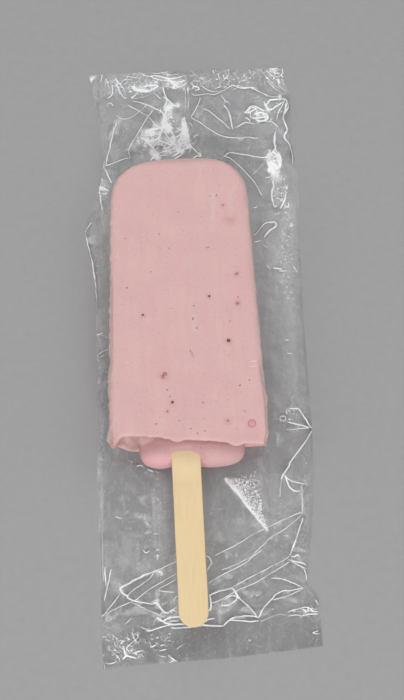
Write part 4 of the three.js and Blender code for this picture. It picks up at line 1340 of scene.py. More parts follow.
    (0.9, 0.8, 0.2, [(107, 663.5), (112, 663.5), (116, 661.5)]),
    (0.5, 0.6, 0, [(104, 662), (105, 669)]),
    (0.4, 0.5, 0.2, [(110, 633), (120, 642)]),
    (0.4, 0.5, 0.2, [(113, 641), (118, 648)]),
    (0.8, 0.9, 0, [(149.5, 642), (150, 644)]),
    (0.9, 1, 0, [(152, 647), (156, 645)]),
    (0.7, 1, 0, [(161, 646), (163, 645)]),
    (0.9, 0.8, 0, [(160, 651), (166, 649.5)]),
    (0.7, 0.7, 0, [(160, 656), (166, 657)]),
    (1, 0.9, 0.2, [(169, 656), (178, 663.5), (170, 664), (173, 660.5)]),
    (0.8, 0.8, 0, [(161, 663), (165, 663.5)]),
    (0.4, 0.8, 0, [(177, 649), (184, 644)]),
    # down the left side
    (0.7, 1, 0.8, [(102, 178), (100, 182), (99, 188)]),
    (0.9, 1, 0.5, [(100, 186.5), (108, 191)]),
    (0.8, 1, 0.8, [(99.5, 190), (102, 210)]),
    (0.7, 0.8, 0.3, [(103, 195), (107, 193.5)]),
    (0.9, 0.7, 0.8, [(85, 231), (91, 222.5)]),
    (0.4, 0.6, 0.3, [(84.5, 232), (85, 237)]),
    (0.8, 0.7, 0.5, [(85.5, 235), (89, 249), (92.5, 264)]),
    (1, 1, 0.3, [(92, 261), (95, 279)]),
    (0.5, 0.6, 0.3, [(95, 279), (97, 302)]),
    (0.7, 0.8, 0.3, [(97, 334.5), (103, 333)]),
    (0.7, 0.6, 0.3, [(97, 355), (105, 350.5), (109, 350)]),
    (0.4, 0.6, 0.2, [(98, 358), (104, 355)]),
    (0.5, 0.7, 0, [(96, 445), (96, 447)]),
]

# Soft gleams painted on as white between the creases: whiteness, half width and route, in pixels of the
# photograph. Where they lie over each other, the strongest counts.
GLEAMS = [
    (0.6, 3, [(160, 128), (159, 145)]),
    (0.55, 2.5, [(166, 100), (165, 122)]),
    (0.5, 4, [(141, 142), (146, 132)]),
    (0.45, 1.5, [(116, 122), (110, 142)]),
    (0.24, 4, [(290, 205), (291, 226)]),
    (0.22, 5, [(270, 232), (284, 244)]),
    (0.2, 5, [(280, 258), (292, 272)]),
    (0.35, 2, [(141, 500), (144, 497)]),
    (0.25, 3, [(136, 515), (150, 519)]),
    (0.2, 8, [(104, 128), (108, 152)]),
    (0.35, 8, [(158, 129), (176, 132)]),
    (0.2, 7, [(142, 568), (162, 570)]),
    (0.25, 6, [(168, 566), (174, 575)]),
    (0.3, 6, [(256, 522), (264, 527)]),
    (0.16, 8, [(240, 494), (246, 484)]),
    (0.14, 6, [(168, 632), (178, 630)]),
    (0.26, 8, [(198, 116), (206, 124)]),
    (0.9, 2, [(183, 119), (188, 147)]),
    (0.7, 3, [(183, 128), (186, 146)]),
    (0.2, 6, [(222, 592), (236, 589)]),
    (1.1, 6, [(158, 128), (168, 131)]),
    (0.9, 5, [(145, 134), (160, 133)]),
    (0.9, 5, [(143, 138), (152, 143)]),
    (1.0, 4, [(152, 152), (158, 157)]),
    (0.75, 6, [(164, 140), (180, 142)]),
    (0.65, 6, [(166, 150), (182, 149)]),
    (0.85, 4, [(166, 110), (178, 105)]),
    (0.8, 5, [(163, 124), (170, 114)]),
    (1.0, 3.5, [(184, 124), (187, 146)]),
    (0.35, 7, [(133, 148), (146, 156)]),
    (0.1, 7, [(274, 230), (274, 266)]),
    (0.12, 6, [(288, 232), (288, 244)]),
    (0.14, 8, [(292, 480), (292, 500)]),
    (0.2, 3, [(146, 474), (160, 477)]),
    (0.14, 24, [(104, 128), (104, 176)]),
    (0.14, 30, [(125, 130), (222, 130)]),
    (0.13, 16, [(118, 84), (136, 84)]),
    (0.5, 6, [(141, 87), (154, 87)]),
    (0.5, 6, [(168, 80), (182, 84)]),
    (0.28, 9, [(150, 106), (180, 106)]),
    (0.36, 7, [(174, 104), (178, 130)]),
    (0.9, 5, [(158, 128), (168, 127)]),
    (0.35, 7, [(172, 134), (180, 126)]),
    (0.36, 8, [(143, 143), (150, 150)]),
    (0.36, 7, [(174, 150), (180, 150)]),
    (0.25, 7, [(188, 150), (194, 150)]),
    (0.2, 6, [(244, 84), (250, 84)]),
    (0.22, 8, [(262, 106), (276, 108)]),
    (0.16, 9, [(274, 128), (282, 135)]),
    (0.85, 6, [(271, 158), (276, 178)]),
    (0.34, 6, [(274, 190), (276, 200)]),
    (0.18, 7, [(272, 216), (274, 262)]),
    (0.16, 6, [(288, 236), (287, 290)]),
    (0.1, 8, [(260, 236), (262, 246)]),
    (0.16, 7, [(162, 483), (163, 560)]),
    (0.2, 3, [(100, 457), (101, 480), (101, 530)]),
    (0.1, 6, [(207, 498), (210, 560)]),
    (0.22, 5, [(172, 560), (174, 575)]),
    (0.2, 7, [(150, 566), (165, 572)]),
    (0.18, 6, [(172, 588), (174, 614)]),
    (0.14, 9, [(106, 552), (104, 580)]),
    (0.6, 2.2, [(120, 586), (122, 591)]),
    (0.65, 2.4, [(157, 600), (158, 606)]),
    (0.5, 2, [(157, 619), (160, 619)]),
    (0.5, 2, [(166, 622), (170, 623)]),
    (0.12, 6, [(124, 650), (140, 656)]),
    (0.12, 10, [(108, 634), (116, 634)]),
    (0.65, 3, [(227, 480), (240, 495), (247, 505)]),
    (0.45, 2.5, [(247, 505), (258, 519), (267, 530)]),
    (0.2, 8, [(262, 520), (276, 526)]),
    (0.16, 8, [(260, 480), (262, 504)]),
    (0.16, 7, [(288, 476), (290, 488)]),
    (0.12, 8, [(290, 522), (286, 530)]),
    (0.12, 8, [(232, 568), (262, 548)]),
    (0.35, 1.3, [(300, 497), (303, 498), (303, 512)]),
    (0.3, 3.5, [(116, 124), (113, 138)]),
    (0.07, 12, [(90, 84), (88, 165)]),
    (0.4, 6, [(146, 139), (165, 134)]),
    (0.4, 5, [(160, 150), (176, 152)]),
    (0.45, 4, [(138, 88), (156, 88)]),
    (0.22, 5, [(160, 78), (182, 79)]),
    (0.2, 4, [(112, 84), (124, 92)]),
    (0.12, 9, [(200, 80), (250, 80)]),
    (0.16, 8, [(272, 76), (280, 84)]),
    (0.35, 5, [(256, 112), (268, 108)]),
    (0.35, 3.5, [(119, 121), (118, 128), (117, 136)]),
    (0.22, 4, [(120, 122), (126, 123)]),
    (0.45, 2.5, [(135, 86), (148, 87)]),
    (0.7, 3.5, [(170, 105), (171, 112), (168, 119)]),
    (0.55, 3.2, [(141, 138), (139, 142), (138, 147)]),
    (0.5, 4.5, [(186, 128), (183, 136), (180, 143)]),
    (0.5, 3.5, [(187, 132), (188, 142)]),
    (0.5, 3, [(256, 115), (266, 116)]),
    (0.45, 3, [(261, 110), (270, 110)]),
    (0.3, 3, [(259, 108), (264, 108)]),
    (0.6, 3, [(278, 156), (279, 166)]),
    (0.35, 2.5, [(275, 182), (275.5, 188)]),
    (0.3, 3, [(284, 190), (285, 203)]),
    (0.25, 5.5, [(282, 213), (283, 240)]),
    (0.22, 6, [(280, 240), (281, 268)]),
    (0.2, 6, [(280, 268), (286, 290)]),
    (0.16, 7, [(288, 290), (290, 330)]),
    (0.14, 8, [(291, 330), (292, 400)]),
    (0.12, 8, [(293, 400), (294, 450)]),
    (0.3, 2.5, [(103, 191), (106, 194)]),
    (0.25, 2.5, [(103, 212), (105, 232)]),
    (0.2, 2, [(99, 380), (99, 384)]),
    (0.15, 3, [(98, 455), (99, 480)]),
    (0.3, 1.3, [(278, 433), (278, 446)]),
    (0.25, 2.5, [(153, 490), (155, 545)]),
    (0.25, 2.5, [(159, 505), (160, 545)]),
    (0.3, 1.5, [(139, 497), (143, 500), (144, 504)]),
    (0.4, 1.3, [(144.5, 514), (145, 519)]),
    (0.35, 1.5, [(146, 522), (150, 527)]),
    (0.4, 1.2, [(146, 533), (151, 531.5)]),
    (0.3, 1.6, [(145, 547), (149, 546)]),
    (0.2, 1.5, [(138, 545), (138.5, 575)]),
    (0.2, 2, [(144, 560), (147, 567)]),
    (0.3, 4, [(118, 583), (121, 590)]),
    (0.4, 2, [(158, 591), (157, 598), (158, 603)]),
    (0.15, 9, [(125, 560), (130, 545)]),
    (0.2, 2, [(121, 500), (122, 497)]),
    (0.25, 2.5, [(219, 532), (221, 541)]),
    (0.2, 3, [(214, 500), (216, 540)]),
    (0.15, 7, [(240, 520), (235, 545)]),
    (0.15, 6, [(275, 480), (275, 510)]),
    (0.15, 7, [(285, 505), (283, 515)]),
    (0.3, 2, [(219, 605), (220, 622)]),
    (0.2, 4, [(114, 627), (118, 629)]),
    (0.25, 3, [(298, 557), (301, 560)]),
]

# Where the film is crinkled and has white glints painted on: centre, half width, half length, turn in
# degrees and whiteness.
CRINKLES_WITH_PAINTED_GLINTS = [
    (-19.0, 101.5, 5.5, 2.6, 8, 0.45),
    (-8.0, 104.0, 9.0, 3.2, 0, 0.45),
    (-27.0, 102.0, 5.0, 3.5, 0, 0.3),
    (12.0, 103.5, 17.0, 4.0, 0, 0.24),
    (33.0, 103.5, 5.0, 4.4, 0, 0.2),
    (-14.5, 80.0, 5.5, 3.5, 10, 0.3),
    (-7.5, 88.5, 2.8, 6.5, 8, 0.35),
    (-6.0, 78.0, 5.5, 3.5, 0, 0.35),
    (25.5, 88.0, 5.0, 3.2, -15, 0.35),
    (34.5, 92.0, 2.5, 5.0, 0, 0.25),
    (30.0, 69.0, 2.4, 4.2, 5, 0.5),
    (32.5, 57.5, 2.0, 6.5, -4, 0.3),
    (34.5, 45.0, 2.6, 10.0, 0, 0.2),
    (33.0, 25.0, 3.5, 16.0, 2, 0.14),
    (-33.0, 60.5, 1.6, 4.0, 5, 0.3),
    (-16.0, -56.0, 3.0, 10.0, 2, 0.12),
    (-15.5, -90.0, 2.5, 3.0, 0, 0.3),
    (-11.5, -94.0, 5.0, 1.4, 5, 0.45),
    (-29.0, -102.5, 6.5, 4.5, 0, 0.3),
    (-18.0, -100.5, 5.0, 5.0, 0, 0.18),
    (33.0, -94.0, 4.0, 1.6, 5, 0.4),
    (31.5, -26.0, 2.5, 3.0, 5, 0.25),
]
# Where the film is darker: centre, half width, half length and how dark. The first three lie on the crimps,
# where the film lies in more layers; the last is painted shadow beyond the bar's tip.
SHADED = [
    (0, -102.5, 44, 6.0, 0.23),
    (-4, -101, 9, 6.0, 0.14),
    (14, 103.5, 23, 4.5, 0.2),
    (8, 70, 6, 4, 0.12),
]
# Soft dark strokes, given as GLEAMS are: painted shadow beside and under the pop, and darker film
# elsewhere.
DARK_STROKES_AND_PAINTED_SHADOWS = [
    (0.06, 12, [(110, 478), (112, 520), (128, 545)]),
    (0.14, 8, [(148, 478), (160, 480)]),
    (0.1, 8, [(258, 282), (262, 330)]),
    (0.14, 8, [(246, 600), (262, 612)]),
    (0.2, 7, [(106, 365), (105, 430), (107, 468)]),
    (0.2, 9, [(114, 460), (134, 461)]),
    (0.2, 7, [(246, 457), (262, 458)]),
    (0.1, 8, [(304, 235), (304, 390)]),
    (0.1, 8, [(275, 345), (275, 445)]),
    (0.45, 4, [(88, 236), (92, 243)]),
    (0.16, 5, [(93, 365), (93, 440)]),
    (0.16, 6, [(288, 375), (288, 440)]),
    (0.25, 1.2, [(98.5, 84), (98, 150)]),
    (0.16, 9, [(140, 615), (120, 606)]),
    (0.2, 8, [(152, 656), (140, 636)]),
    (0.25, 5, [(104, 612), (128, 613), (150, 613)]),
    (0.14, 8, [(272, 612), (262, 600)]),
]
# Triangles where the two layers cling to each other: how dense the white glints painted there as beads are
# along the side from the first to the second corner, how dense they are at the third, and the corners in
# pixels.
BEADED = [
    (0.8, 0.35, [(225.5, 478), (268, 532), (257, 470)]),
    (0.5, 0.6, [(183, 114), (192, 149), (176, 147)]),
]

# Patches full of short random creases: centre, half sizes, how many, their length, the whiteness of their
# painted highlights, and direction.
CRUMPLES = [
    ((-12, 104), (22, 3.5), 40, 2.2, 0.6, 15),
    ((18, 104), (15, 3.5), 30, 1.4, 0.45, -20),
    ((33, 103), (4, 4.5), 24, 1.8, 0.55, -45),
    ((-24, 102), (7, 4.5), 10, 2.2, 0.6, 60),
    ((-14, 80), (5, 4.0), 8, 3.0, 0.6, 25),
    ((-7, 88), (3, 7.0), 9, 3.0, 0.7, 70),
    ((-3, 79), (6, 4.0), 12, 2.5, 0.7, 10),
    ((-0.5, 84), (2, 6.0), 7, 2.6, 0.6, 80),
    ((26, 88), (6, 4.0), 8, 2.2, 0.7, 10),
    ((31, 68), (2.5, 5.0), 6, 2.2, 0.6, 75),
    ((34, 45), (2.5, 14.0), 16, 1.4, 0.28, 75),
    ((31, 5), (4, 34.0), 12, 1.6, 0.2, 30),
    ((-24, -58), (9, 12.0), 14, 1.4, 0.28, 40),
    ((2.5, -57), (3.0, 10.0), 6, 1.6, 0.25, 80),
    ((-14, -92), (9, 4.0), 8, 2.4, 0.6, 10),
    ((-31, -102.5), (5, 5.0), 16, 1.8, 0.5, -40),
    ((32, -94.5), (4, 1.8), 8, 1.6, 0.6, 5),
]

PIXEL = 0.35  # millimetres of film that one pixel of the photograph shows
CURVE_STEPS, CREASE_CURVE_STEPS = 8, 4  # points that a curve has from each knot to the next
OUTLINE_STEP, CREASE_STEP = 0.9, 0.8  # spacing of the points along the outline and along creases
TOOTH, CUT_BACK, CUT_END = 0.16, 0.2, (103, 107)  # the toothed cut across both ends of the bag

# The white along a crease is a painted highlight, and the darker strip beside it is painted shade.
# A crease: how wide it raises the film, its slope, and how it fades towards its ends.
SPREAD, SPREAD_BY_HEIGHT, TENT_POWER = 1.6, 2.1, 1.25
END_HEIGHT, END_HEIGHT_REACH = 0.35, 4
END_WHITENESS, END_WHITENESS_REACH = 0.5, 1.2
FOLD_HEIGHT = 0.6  # from this height on it is a fold, and lower ones stand on top of it
MEAN_STRENGTH, BREAK_APART = 0.8, 7.3  # its whiteness is uneven, and differently from the next one's
CREASE_PEAK = 2.0  # a crease's middle over its whiteness, so that white creases have an even width
FLANK_SHADE, FLANK_WIDTH = 0.25, 0.5  # the darker strip beside a crease
FLANK_LOW, FLANK_CLEAR = 0.4, 0.1  # its strength beside a flat crease, and how white the film may be there

# The random creases of a patch: the last two are shares of the patch's own length and whiteness.
SMALL_CREASE_HALF_WIDTH, SMALL_CREASE_HEIGHT = 0.18, (0.1, 0.45)
SMALL_CREASE_BEND, SMALL_CREASE_TURN = 0.35, 38
SMALL_CREASE_LENGTH, SMALL_CREASE_WHITENESS = (0.4, 1.3), (0.4, 1.1)

# The pop's footprint on the film, a little inside its outline.
FOOTPRINT_CORNER, FOOTPRINT_TIP_CORNER, FOOTPRINT_BULGE_CORNER = 1, TIP_DEPTH[1] - 2, 5
FOOTPRINT_BULGE_HALF_WIDTH, FOOTPRINT_BULGE_REACH = BULGE_HALF_WIDTH - 1, BULGE_REACH - 2

# The net of points between the creases.
NET_X, NET_Y = (-40, 40), (-112, 110)
FLAT_STEP, CRUMPLED_STEP, JITTER = 1.15, 0.6, 0.3
BUSY_CELL, TAKEN_CELL = 2, 0.4  # sizes of the cells that are crumpled, and of those that hold a point
FAR_UNDER_POP, KEPT_UNDER_POP = -2, 0.15  # where the pop hides the film, and the share of points there
UNDER_Y, UNDER_STEP, UNDER_MARGIN = (-110, 110), 5.0, 1.5  # the net of the lower layer
UPPER_SLACK, UNDER_SLACK = 1e-4, 1e-6  # within which points of each layer's net count as one

# The upper layer: lower in the crimps and under the pop, ribbed in the crimps, and joined at its rim.
CRIMP_SHARE, CRIMP_FADE, POP_FADE, RIM_FADE = 0.12, 5, (0.3, 3), 1.4
RIB_HEIGHT, RIB_SPACING, RIB_FROM, RIB_MIDDLE = 0.09, 1.7, (98, 100), -0.5
LEAST_GAP = 0.12
GLEAM_HEIGHT, BEAD_HEIGHT = 0.7, 0.5  # levels of the film that pixels of gleams and beads are seen on
MEAN_GLEAM, SHADE_BLUNTNESS, GLINT_PATCH_BLUNTNESS = 0.9, 6, 1.5
FILM_SHARP_ANGLE, FILM_SEED = 24, 7


def on_film(pixel, height):
    """Where the camera sees a pixel of the photograph on the film's level raised by height."""
    across = (pixel[0] - IMAGE_WIDTH / 2) / FOCAL_PIXELS
    up = (IMAGE_HEIGHT / 2 - pixel[1]) / FOCAL_PIXELS
    ray = CAMERA_TURN @ Vector((across, up, -1))
    place = CAMERA_PLACE + ray * ((FILM_TOP + height - CAMERA_PLACE.z) / ray.z)
    return place.x, place.y


def spline_points(start, knots, steps=CURVE_STEPS):
    """Points of a curve from start through the knots."""
    held = [start, *knots]
    points = []
    for index in range(len(held) - 1):
        before, low, high = held[max(index - 1, 0)], held[index], held[index + 1]
        after = held[min(index + 2, len(held) - 1)]
        for step in range(1, steps + 1):
            share = step / steps
            points.append(tuple(
                0.5 * (2 * b + (c - a) * share + (2 * a - 5 * b + 4 * c - d) * share**2
                       + (3 * b - a - 3 * c + d) * share**3)
                for a, b, c, d in zip(before, low, high, after)
            ))
    return points


def spaced(points, step):
    """The route through points with a point at about each step, its own corners kept."""
    route = [points[0]]
    for start, end in zip(points, points[1:]):
        count = max(1, round(math.dist(start, end) / step))
        route += [tuple(lerp(np.array(start), np.array(end), k / count)) for k in range(1, count + 1)]
    return route


def bag_outline():
    """The bag seen from above, with its toothed ends, as points in order."""
    outline = []
    for kind, points in BAG_RUNS:
        outline += spline_points(outline[-1], points) if kind == "curved" else points
    outline = np.array(spaced([*outline, outline[0]], OUTLINE_STEP)[:-1])
    tooth = np.where(np.arange(len(outline)) % 2 == 0, TOOTH, -TOOTH)
    cut = (tooth + CUT_BACK) * smoothstep(np.abs(outline[:, 1]), *CUT_END)
    outline[:, 1] -= np.sign(outline[:, 1]) * cut
    outline[:, 0] += uneven(at_level(*outline.T), "bag edge")
    return outline


def inside_outline(points, outline):
    """Which points lie inside a closed outline."""
    x, y = points.T
    inside = np.zeros(len(points), dtype=bool)
    for (x0, y0), (x1, y1) in zip(outline, np.roll(outline, -1, axis=0)):
        if y0 != y1:
            crosses = (y0 > y) != (y1 > y)
            inside ^= crosses & (x < (x1 - x0) * (y - y0) / (y1 - y0) + x0)
    return inside


def random_creases(rng):
    """Short creases that fill the crumpled patches."""
    made = []
    for (x, y), (half_x, half_y), count, length, whiteness, direction in CRUMPLES:
        for _ in range(count):
            middle = np.array([x, y]) + rng.uniform(-1, 1, 2) * (half_x, half_y)
            turn = math.radians(direction + rng.normal(0, SMALL_CREASE_TURN))
            reach = length * rng.uniform(*SMALL_CREASE_LENGTH) / 2
            run = np.array([math.cos(turn), math.sin(turn)]) * reach
            bend = np.array([-run[1], run[0]]) * rng.uniform(-SMALL_CREASE_BEND, SMALL_CREASE_BEND)
            route = [tuple(middle - run), tuple(middle + bend), tuple(middle + run)]
            painted_highlight = whiteness * rng.uniform(*SMALL_CREASE_WHITENESS)
            made.append((painted_highlight, SMALL_CREASE_HALF_WIDTH, rng.uniform(*SMALL_CREASE_HEIGHT), route))
    return made


def film_creases(rng):
    """All creases, in millimetres: whiteness, half width, height and route."""
    made = []
    for whiteness, half_width, height, pixels in CREASES:
        route = [on_film(pixel, height) for pixel in pixels]
        if len(route) > 2:
            route = [route[0], *spline_points(route[0], route[1:], CREASE_CURVE_STEPS)]
        made.append((whiteness, half_width * PIXEL, height, route))
    return made + random_creases(rng)


def box_distance(x, y, low, high, corner):
    """How far a point lies outside a box with rounded corners, seen from above."""
    across = np.abs(x - (low[0] + high[0]) / 2) - (high[0] - low[0]) / 2 + corner
    along = np.abs(y - (low[1] + high[1]) / 2) - (high[1] - low[1]) / 2 + corner
    outside = np.hypot(np.maximum(across, 0), np.maximum(along, 0))
    return outside + np.minimum(np.maximum(across, along), 0) - corner


def distance_from_pop(x, y):
    """How far a point of the film lies outside the footprint of the bar and its bulge."""
    x, y = x - POP[0], y - POP[1]
    corner = np.where(y > BAR_LENGTH / 2, FOOTPRINT_TIP_CORNER, FOOTPRINT_CORNER)
    bar = box_distance(x, y, (-BASE_WIDTH / 2, 0), (BASE_WIDTH / 2, BAR_LENGTH), corner)
    middle, top, _ = BULGE_CENTRE
    low = (middle - FOOTPRINT_BULGE_HALF_WIDTH, top - FOOTPRINT_BULGE_REACH)
    high = (middle + FOOTPRINT_BULGE_HALF_WIDTH, top)
    return np.minimum(bar, box_distance(x, y, low, high, FOOTPRINT_BULGE_CORNER))


def route_distance(x, y, route):
    """The distance of each point from a route, and how far along the route it is as a share."""
    best = np.full(len(x), np.inf)
    share = np.zeros(len(x))
    for index, (start, end) in enumerate(zip(route, route[1:])):
        distance, along = distance_to_line(x, y, start, end)
        closer = distance < best
        best = np.where(closer, distance, best)
        share = np.where(closer, (index + along) / (len(route) - 1), share)
    return best, share


def offset_route(route, distance):
    """The route moved sideways."""
    points = np.array(route)
    run = np.gradient(points, axis=0)
    run /= np.maximum(np.linalg.norm(run, axis=1), 1e-6)[:, None]
    return points + np.stack([-run[:, 1], run[:, 0]], axis=1) * distance


def closed_edges(count):
    return [(k, (k + 1) % count) for k in range(count)]


def film_points(outline, creases):
    """The points and held edges from which the upper layer is triangulated, and the creases it holds."""
    points = [tuple(point) for point in outline]
    edges = closed_edges(len(points))
    kept = []
    for whiteness, half_width, height, route in creases:
        fine = np.array(spaced(route, CREASE_STEP))
        wobble = [
            uneven(at_level(*fine.T, 5.0), "crease wobble across"),
            uneven(at_level(*fine.T, 9.0), "crease wobble along"),
        ]
        fine = fine + np.stack(wobble, axis=1)
        kept.append((whiteness, half_width, height, fine))
        for line in (fine, offset_route(fine, half_width), offset_route(fine, -half_width)):
            inside = inside_outline(line, outline)
            start = len(points)
            points += [tuple(point) for point in line]
            held = np.flatnonzero(inside[:-1] & inside[1:])
            edges += [(start + int(k), start + int(k) + 1) for k in held]
    return points, edges, kept


def cells_of(points, size):
    return [(math.floor(x / size), math.floor(y / size)) for x, y in points]


def net_points(reach_x, reach_y, step):
    """A square net of points."""
    return np.array([(x, y) for y in np.arange(*reach_y, step) for x in np.arange(*reach_x, step)])


def busy_cells(creases):
    """The cells round all creases, gleams and crinkled places, where the net is closer."""
    points = [point for *_, route in creases for point in route]
    for *_, pixels in GLEAMS:
        points += spaced([on_film(pixel, 0) for pixel in pixels], 1)
    for at_x, at_y, half_x, half_y, *_ in CRINKLES_WITH_PAINTED_GLINTS:
        shares = itertools.product((-1, 0, 1), (-1, -0.5, 0, 0.5, 1))
        points += [(at_x + half_x * across, at_y + half_y * along) for across, along in shares]
    steps = list(itertools.product((-1, 0, 1), repeat=2))
    return {(i + di, j + dj) for i, j in cells_of(points, BUSY_CELL) for di, dj in steps}


def fill_points(outline, creases, taken, rng):
    """A jittered net of points, closer where the film is crumpled, that keeps off the creases."""
    busy = busy_cells(creases)
    made = []
    for step in (FLAT_STEP, CRUMPLED_STEP):
        net = net_points(NET_X, NET_Y, step)
        net = net + rng.uniform(-JITTER, JITTER, net.shape) * step
        close = np.array([cell in busy for cell in cells_of(net, BUSY_CELL)])
        hidden = distance_from_pop(*net.T) < FAR_UNDER_POP
        if step == FLAT_STEP:
            kept = hidden & (rng.uniform(size=len(net)) < KEPT_UNDER_POP)
            wanted = (~close & ~hidden) | kept
        else:
            wanted = close & ~hidden
        made.append(net[wanted & inside_outline(net, outline)])
    net = np.concatenate(made)
    held = set(cells_of(taken, TAKEN_CELL))
    return [tuple(point) for point, cell in zip(net, cells_of(net, TAKEN_CELL)) if cell not in held]


def film_relief(x, y, creases):
    """How far the creases raise each point, how white a highlight is painted on it, and how dark a shade is
    painted beside a crease.
    """
    folds, small, painted_highlight, shade = (np.zeros(len(x)) for _ in range(4))
    for number, (whiteness, half_width, height, route) in enumerate(creases):
        spread = SPREAD + SPREAD_BY_HEIGHT * height
        low, high = route.min(axis=0) - spread, route.max(axis=0) + spread
        near = np.flatnonzero((x > low[0]) & (x < high[0]) & (y > low[1]) & (y < high[1]))
        if not len(near):
            continue
        distance, share = route_distance(x[near], y[near], route)
        length = np.linalg.norm(np.diff(route, axis=0), axis=1).sum()
        from_end = np.minimum(share, 1 - share) * length
        rise = lerp(END_HEIGHT, 1, smoothstep(from_end, 0, END_HEIGHT_REACH))
        tent = height * rise * np.maximum(0, 1 - distance / spread) ** TENT_POWER
        layer = folds if height >= FOLD_HEIGHT else small
        layer[near] = np.maximum(layer[near], tent)
        along = at_level(share * length, np.full(len(near), BREAK_APART * number))
        strength = lerp(END_WHITENESS, 1, smoothstep(from_end, 0, END_WHITENESS_REACH))
        strength = whiteness * (MEAN_STRENGTH + uneven(along, "breaks")) * strength
        line = np.clip(1 - distance / half_width, 0, 1) * CREASE_PEAK * strength
        painted_highlight[near] = np.maximum(painted_highlight[near], line)
        flank = bell(distance - half_width - FLANK_WIDTH / 2, FLANK_WIDTH / 2) * strength
        shade[near] = np.maximum(shade[near], flank * min(1.0, FLANK_LOW + height / 2))
    shade = shade * (painted_highlight < FLANK_CLEAR) * FLANK_SHADE / (1 - FILM_SHADED[0])
    return folds + small, painted_highlight, shade


def soft_strokes(x, y, strokes):
    """How strongly each point lies in soft strokes, given as GLEAMS are."""
    covered = np.zeros(len(x))
    soft = MEAN_GLEAM + uneven(at_level(x, y), "gleam")
    for strength, half_width, pixels in strokes:
        distance, _ = route_distance(x, y, [on_film(pixel, GLEAM_HEIGHT) for pixel in pixels])
        covered = np.maximum(covered, strength * soft * bell(distance, half_width * PIXEL))
    return covered


def darker_film_and_painted_shadow(x, y):
    """How dark the film is at each point, apart from beside creases: darker patches and crimps, and painted
    shadow round the pop.
    """
    unevenly = 1 + uneven(at_level(x, y), "shade")
    dark = np.zeros(len(x))
    for at_x, at_y, half_x, half_y, strength in SHADED:
        across, along = (x - at_x) / half_x, (y - at_y) / half_y
        dark += strength * unevenly * np.exp(-(across**SHADE_BLUNTNESS) - along**SHADE_BLUNTNESS)
    return dark + soft_strokes(x, y, DARK_STROKES_AND_PAINTED_SHADOWS)


def crinkling_and_painted_glints(x, y):
    """How crinkled the film is at each point, and how densely white glints are painted on it."""
    frost = np.zeros(len(x))
    for at_x, at_y, half_x, half_y, turn, whiteness in CRINKLES_WITH_PAINTED_GLINTS:
        cosine, sine = math.cos(math.radians(turn)), math.sin(math.radians(turn))
        across = ((x - at_x) * cosine + (y - at_y) * sine) / half_x
        along = ((y - at_y) * cosine - (x - at_x) * sine) / half_y
        frost = np.maximum(frost, whiteness * np.exp(-((across**2 + along**2) ** GLINT_PATCH_BLUNTNESS)))
    return frost


def glint_bead_density(x, y):
    """How densely white beads, painted glints, cover each point."""
    painted_glint_beads = np.zeros(len(x))
    for near, far, pixels in BEADED:
        first, second, third = (np.array(on_film(pixel, BEAD_HEIGHT)) for pixel in pixels)
        sides = np.array([second - first, third - first]).T
        along, away = np.linalg.solve(sides, np.stack([x, y]) - first[:, None])
        within = smoothstep(along, -0.02, 0.08) * smoothstep(away, -0.03, 0.02)
        within *= smoothstep(1 - along - away, -0.05, 0.1)
        painted_glint_beads = np.maximum(painted_glint_beads, within * lerp(near, far, smoothstep(away, 0.1, 0.7)))
    return painted_glint_beads


def triangulated(points, edges, outline, slack):
    """The points and triangles inside the outline, with the edges held."""
    flat, _, faces, *_ = delaunay_2d_cdt([Vector(point) for point in points], edges, [], 0, slack)
    flat = np.array([tuple(point) for point in flat])
    faces = np.array([tuple(face) for face in faces])
    return flat, faces[inside_outline(flat[faces].mean(axis=1), outline)]


def film_height(flat, outline, relief):
    """How high the upper layer lies at each point."""
    x, y = flat.T
    level = at_level(x, y)
    off_crimps = smoothstep(CRIMP_TOP - y, 0, CRIMP_FADE) * smoothstep(y - CRIMP_BOTTOM, 0, CRIMP_FADE)
    off_pop = smoothstep(distance_from_pop(x, y), *POP_FADE)
    bands = np.maximum(0, np.maximum(0, uneven(level, "folds")) + uneven(level, "buckles"))
    height = FILM_TOP + (relief + bands) * lerp(CRIMP_SHARE, 1, off_crimps) * off_pop
    ribbed = smoothstep(np.abs(y - RIB_MIDDLE), *RIB_FROM)
    height += RIB_HEIGHT * np.sin(2 * np.pi * x / RIB_SPACING) * ribbed + uneven(level, "ripples") * off_pop
    from_rim = smoothstep(edge_distance(flat, outline), 0, RIM_FADE)
    height = lerp((FILM_TOP + FILM_BOTTOM) / 2, height, from_rim)
    return np.maximum(height, FILM_BOTTOM + LEAST_GAP)


def lower_layer(rim, outline):
    """The points of the lower layer, those of the rim first, and its triangles."""
    net = net_points(NET_X, UNDER_Y, UNDER_STEP)
    net = net[inside_outline(net, outline)]
    net = net[edge_distance(net, outline) > UNDER_MARGIN]
    return triangulated([*rim, *net], closed_edges(len(rim)), outline, UNDER_SLACK)


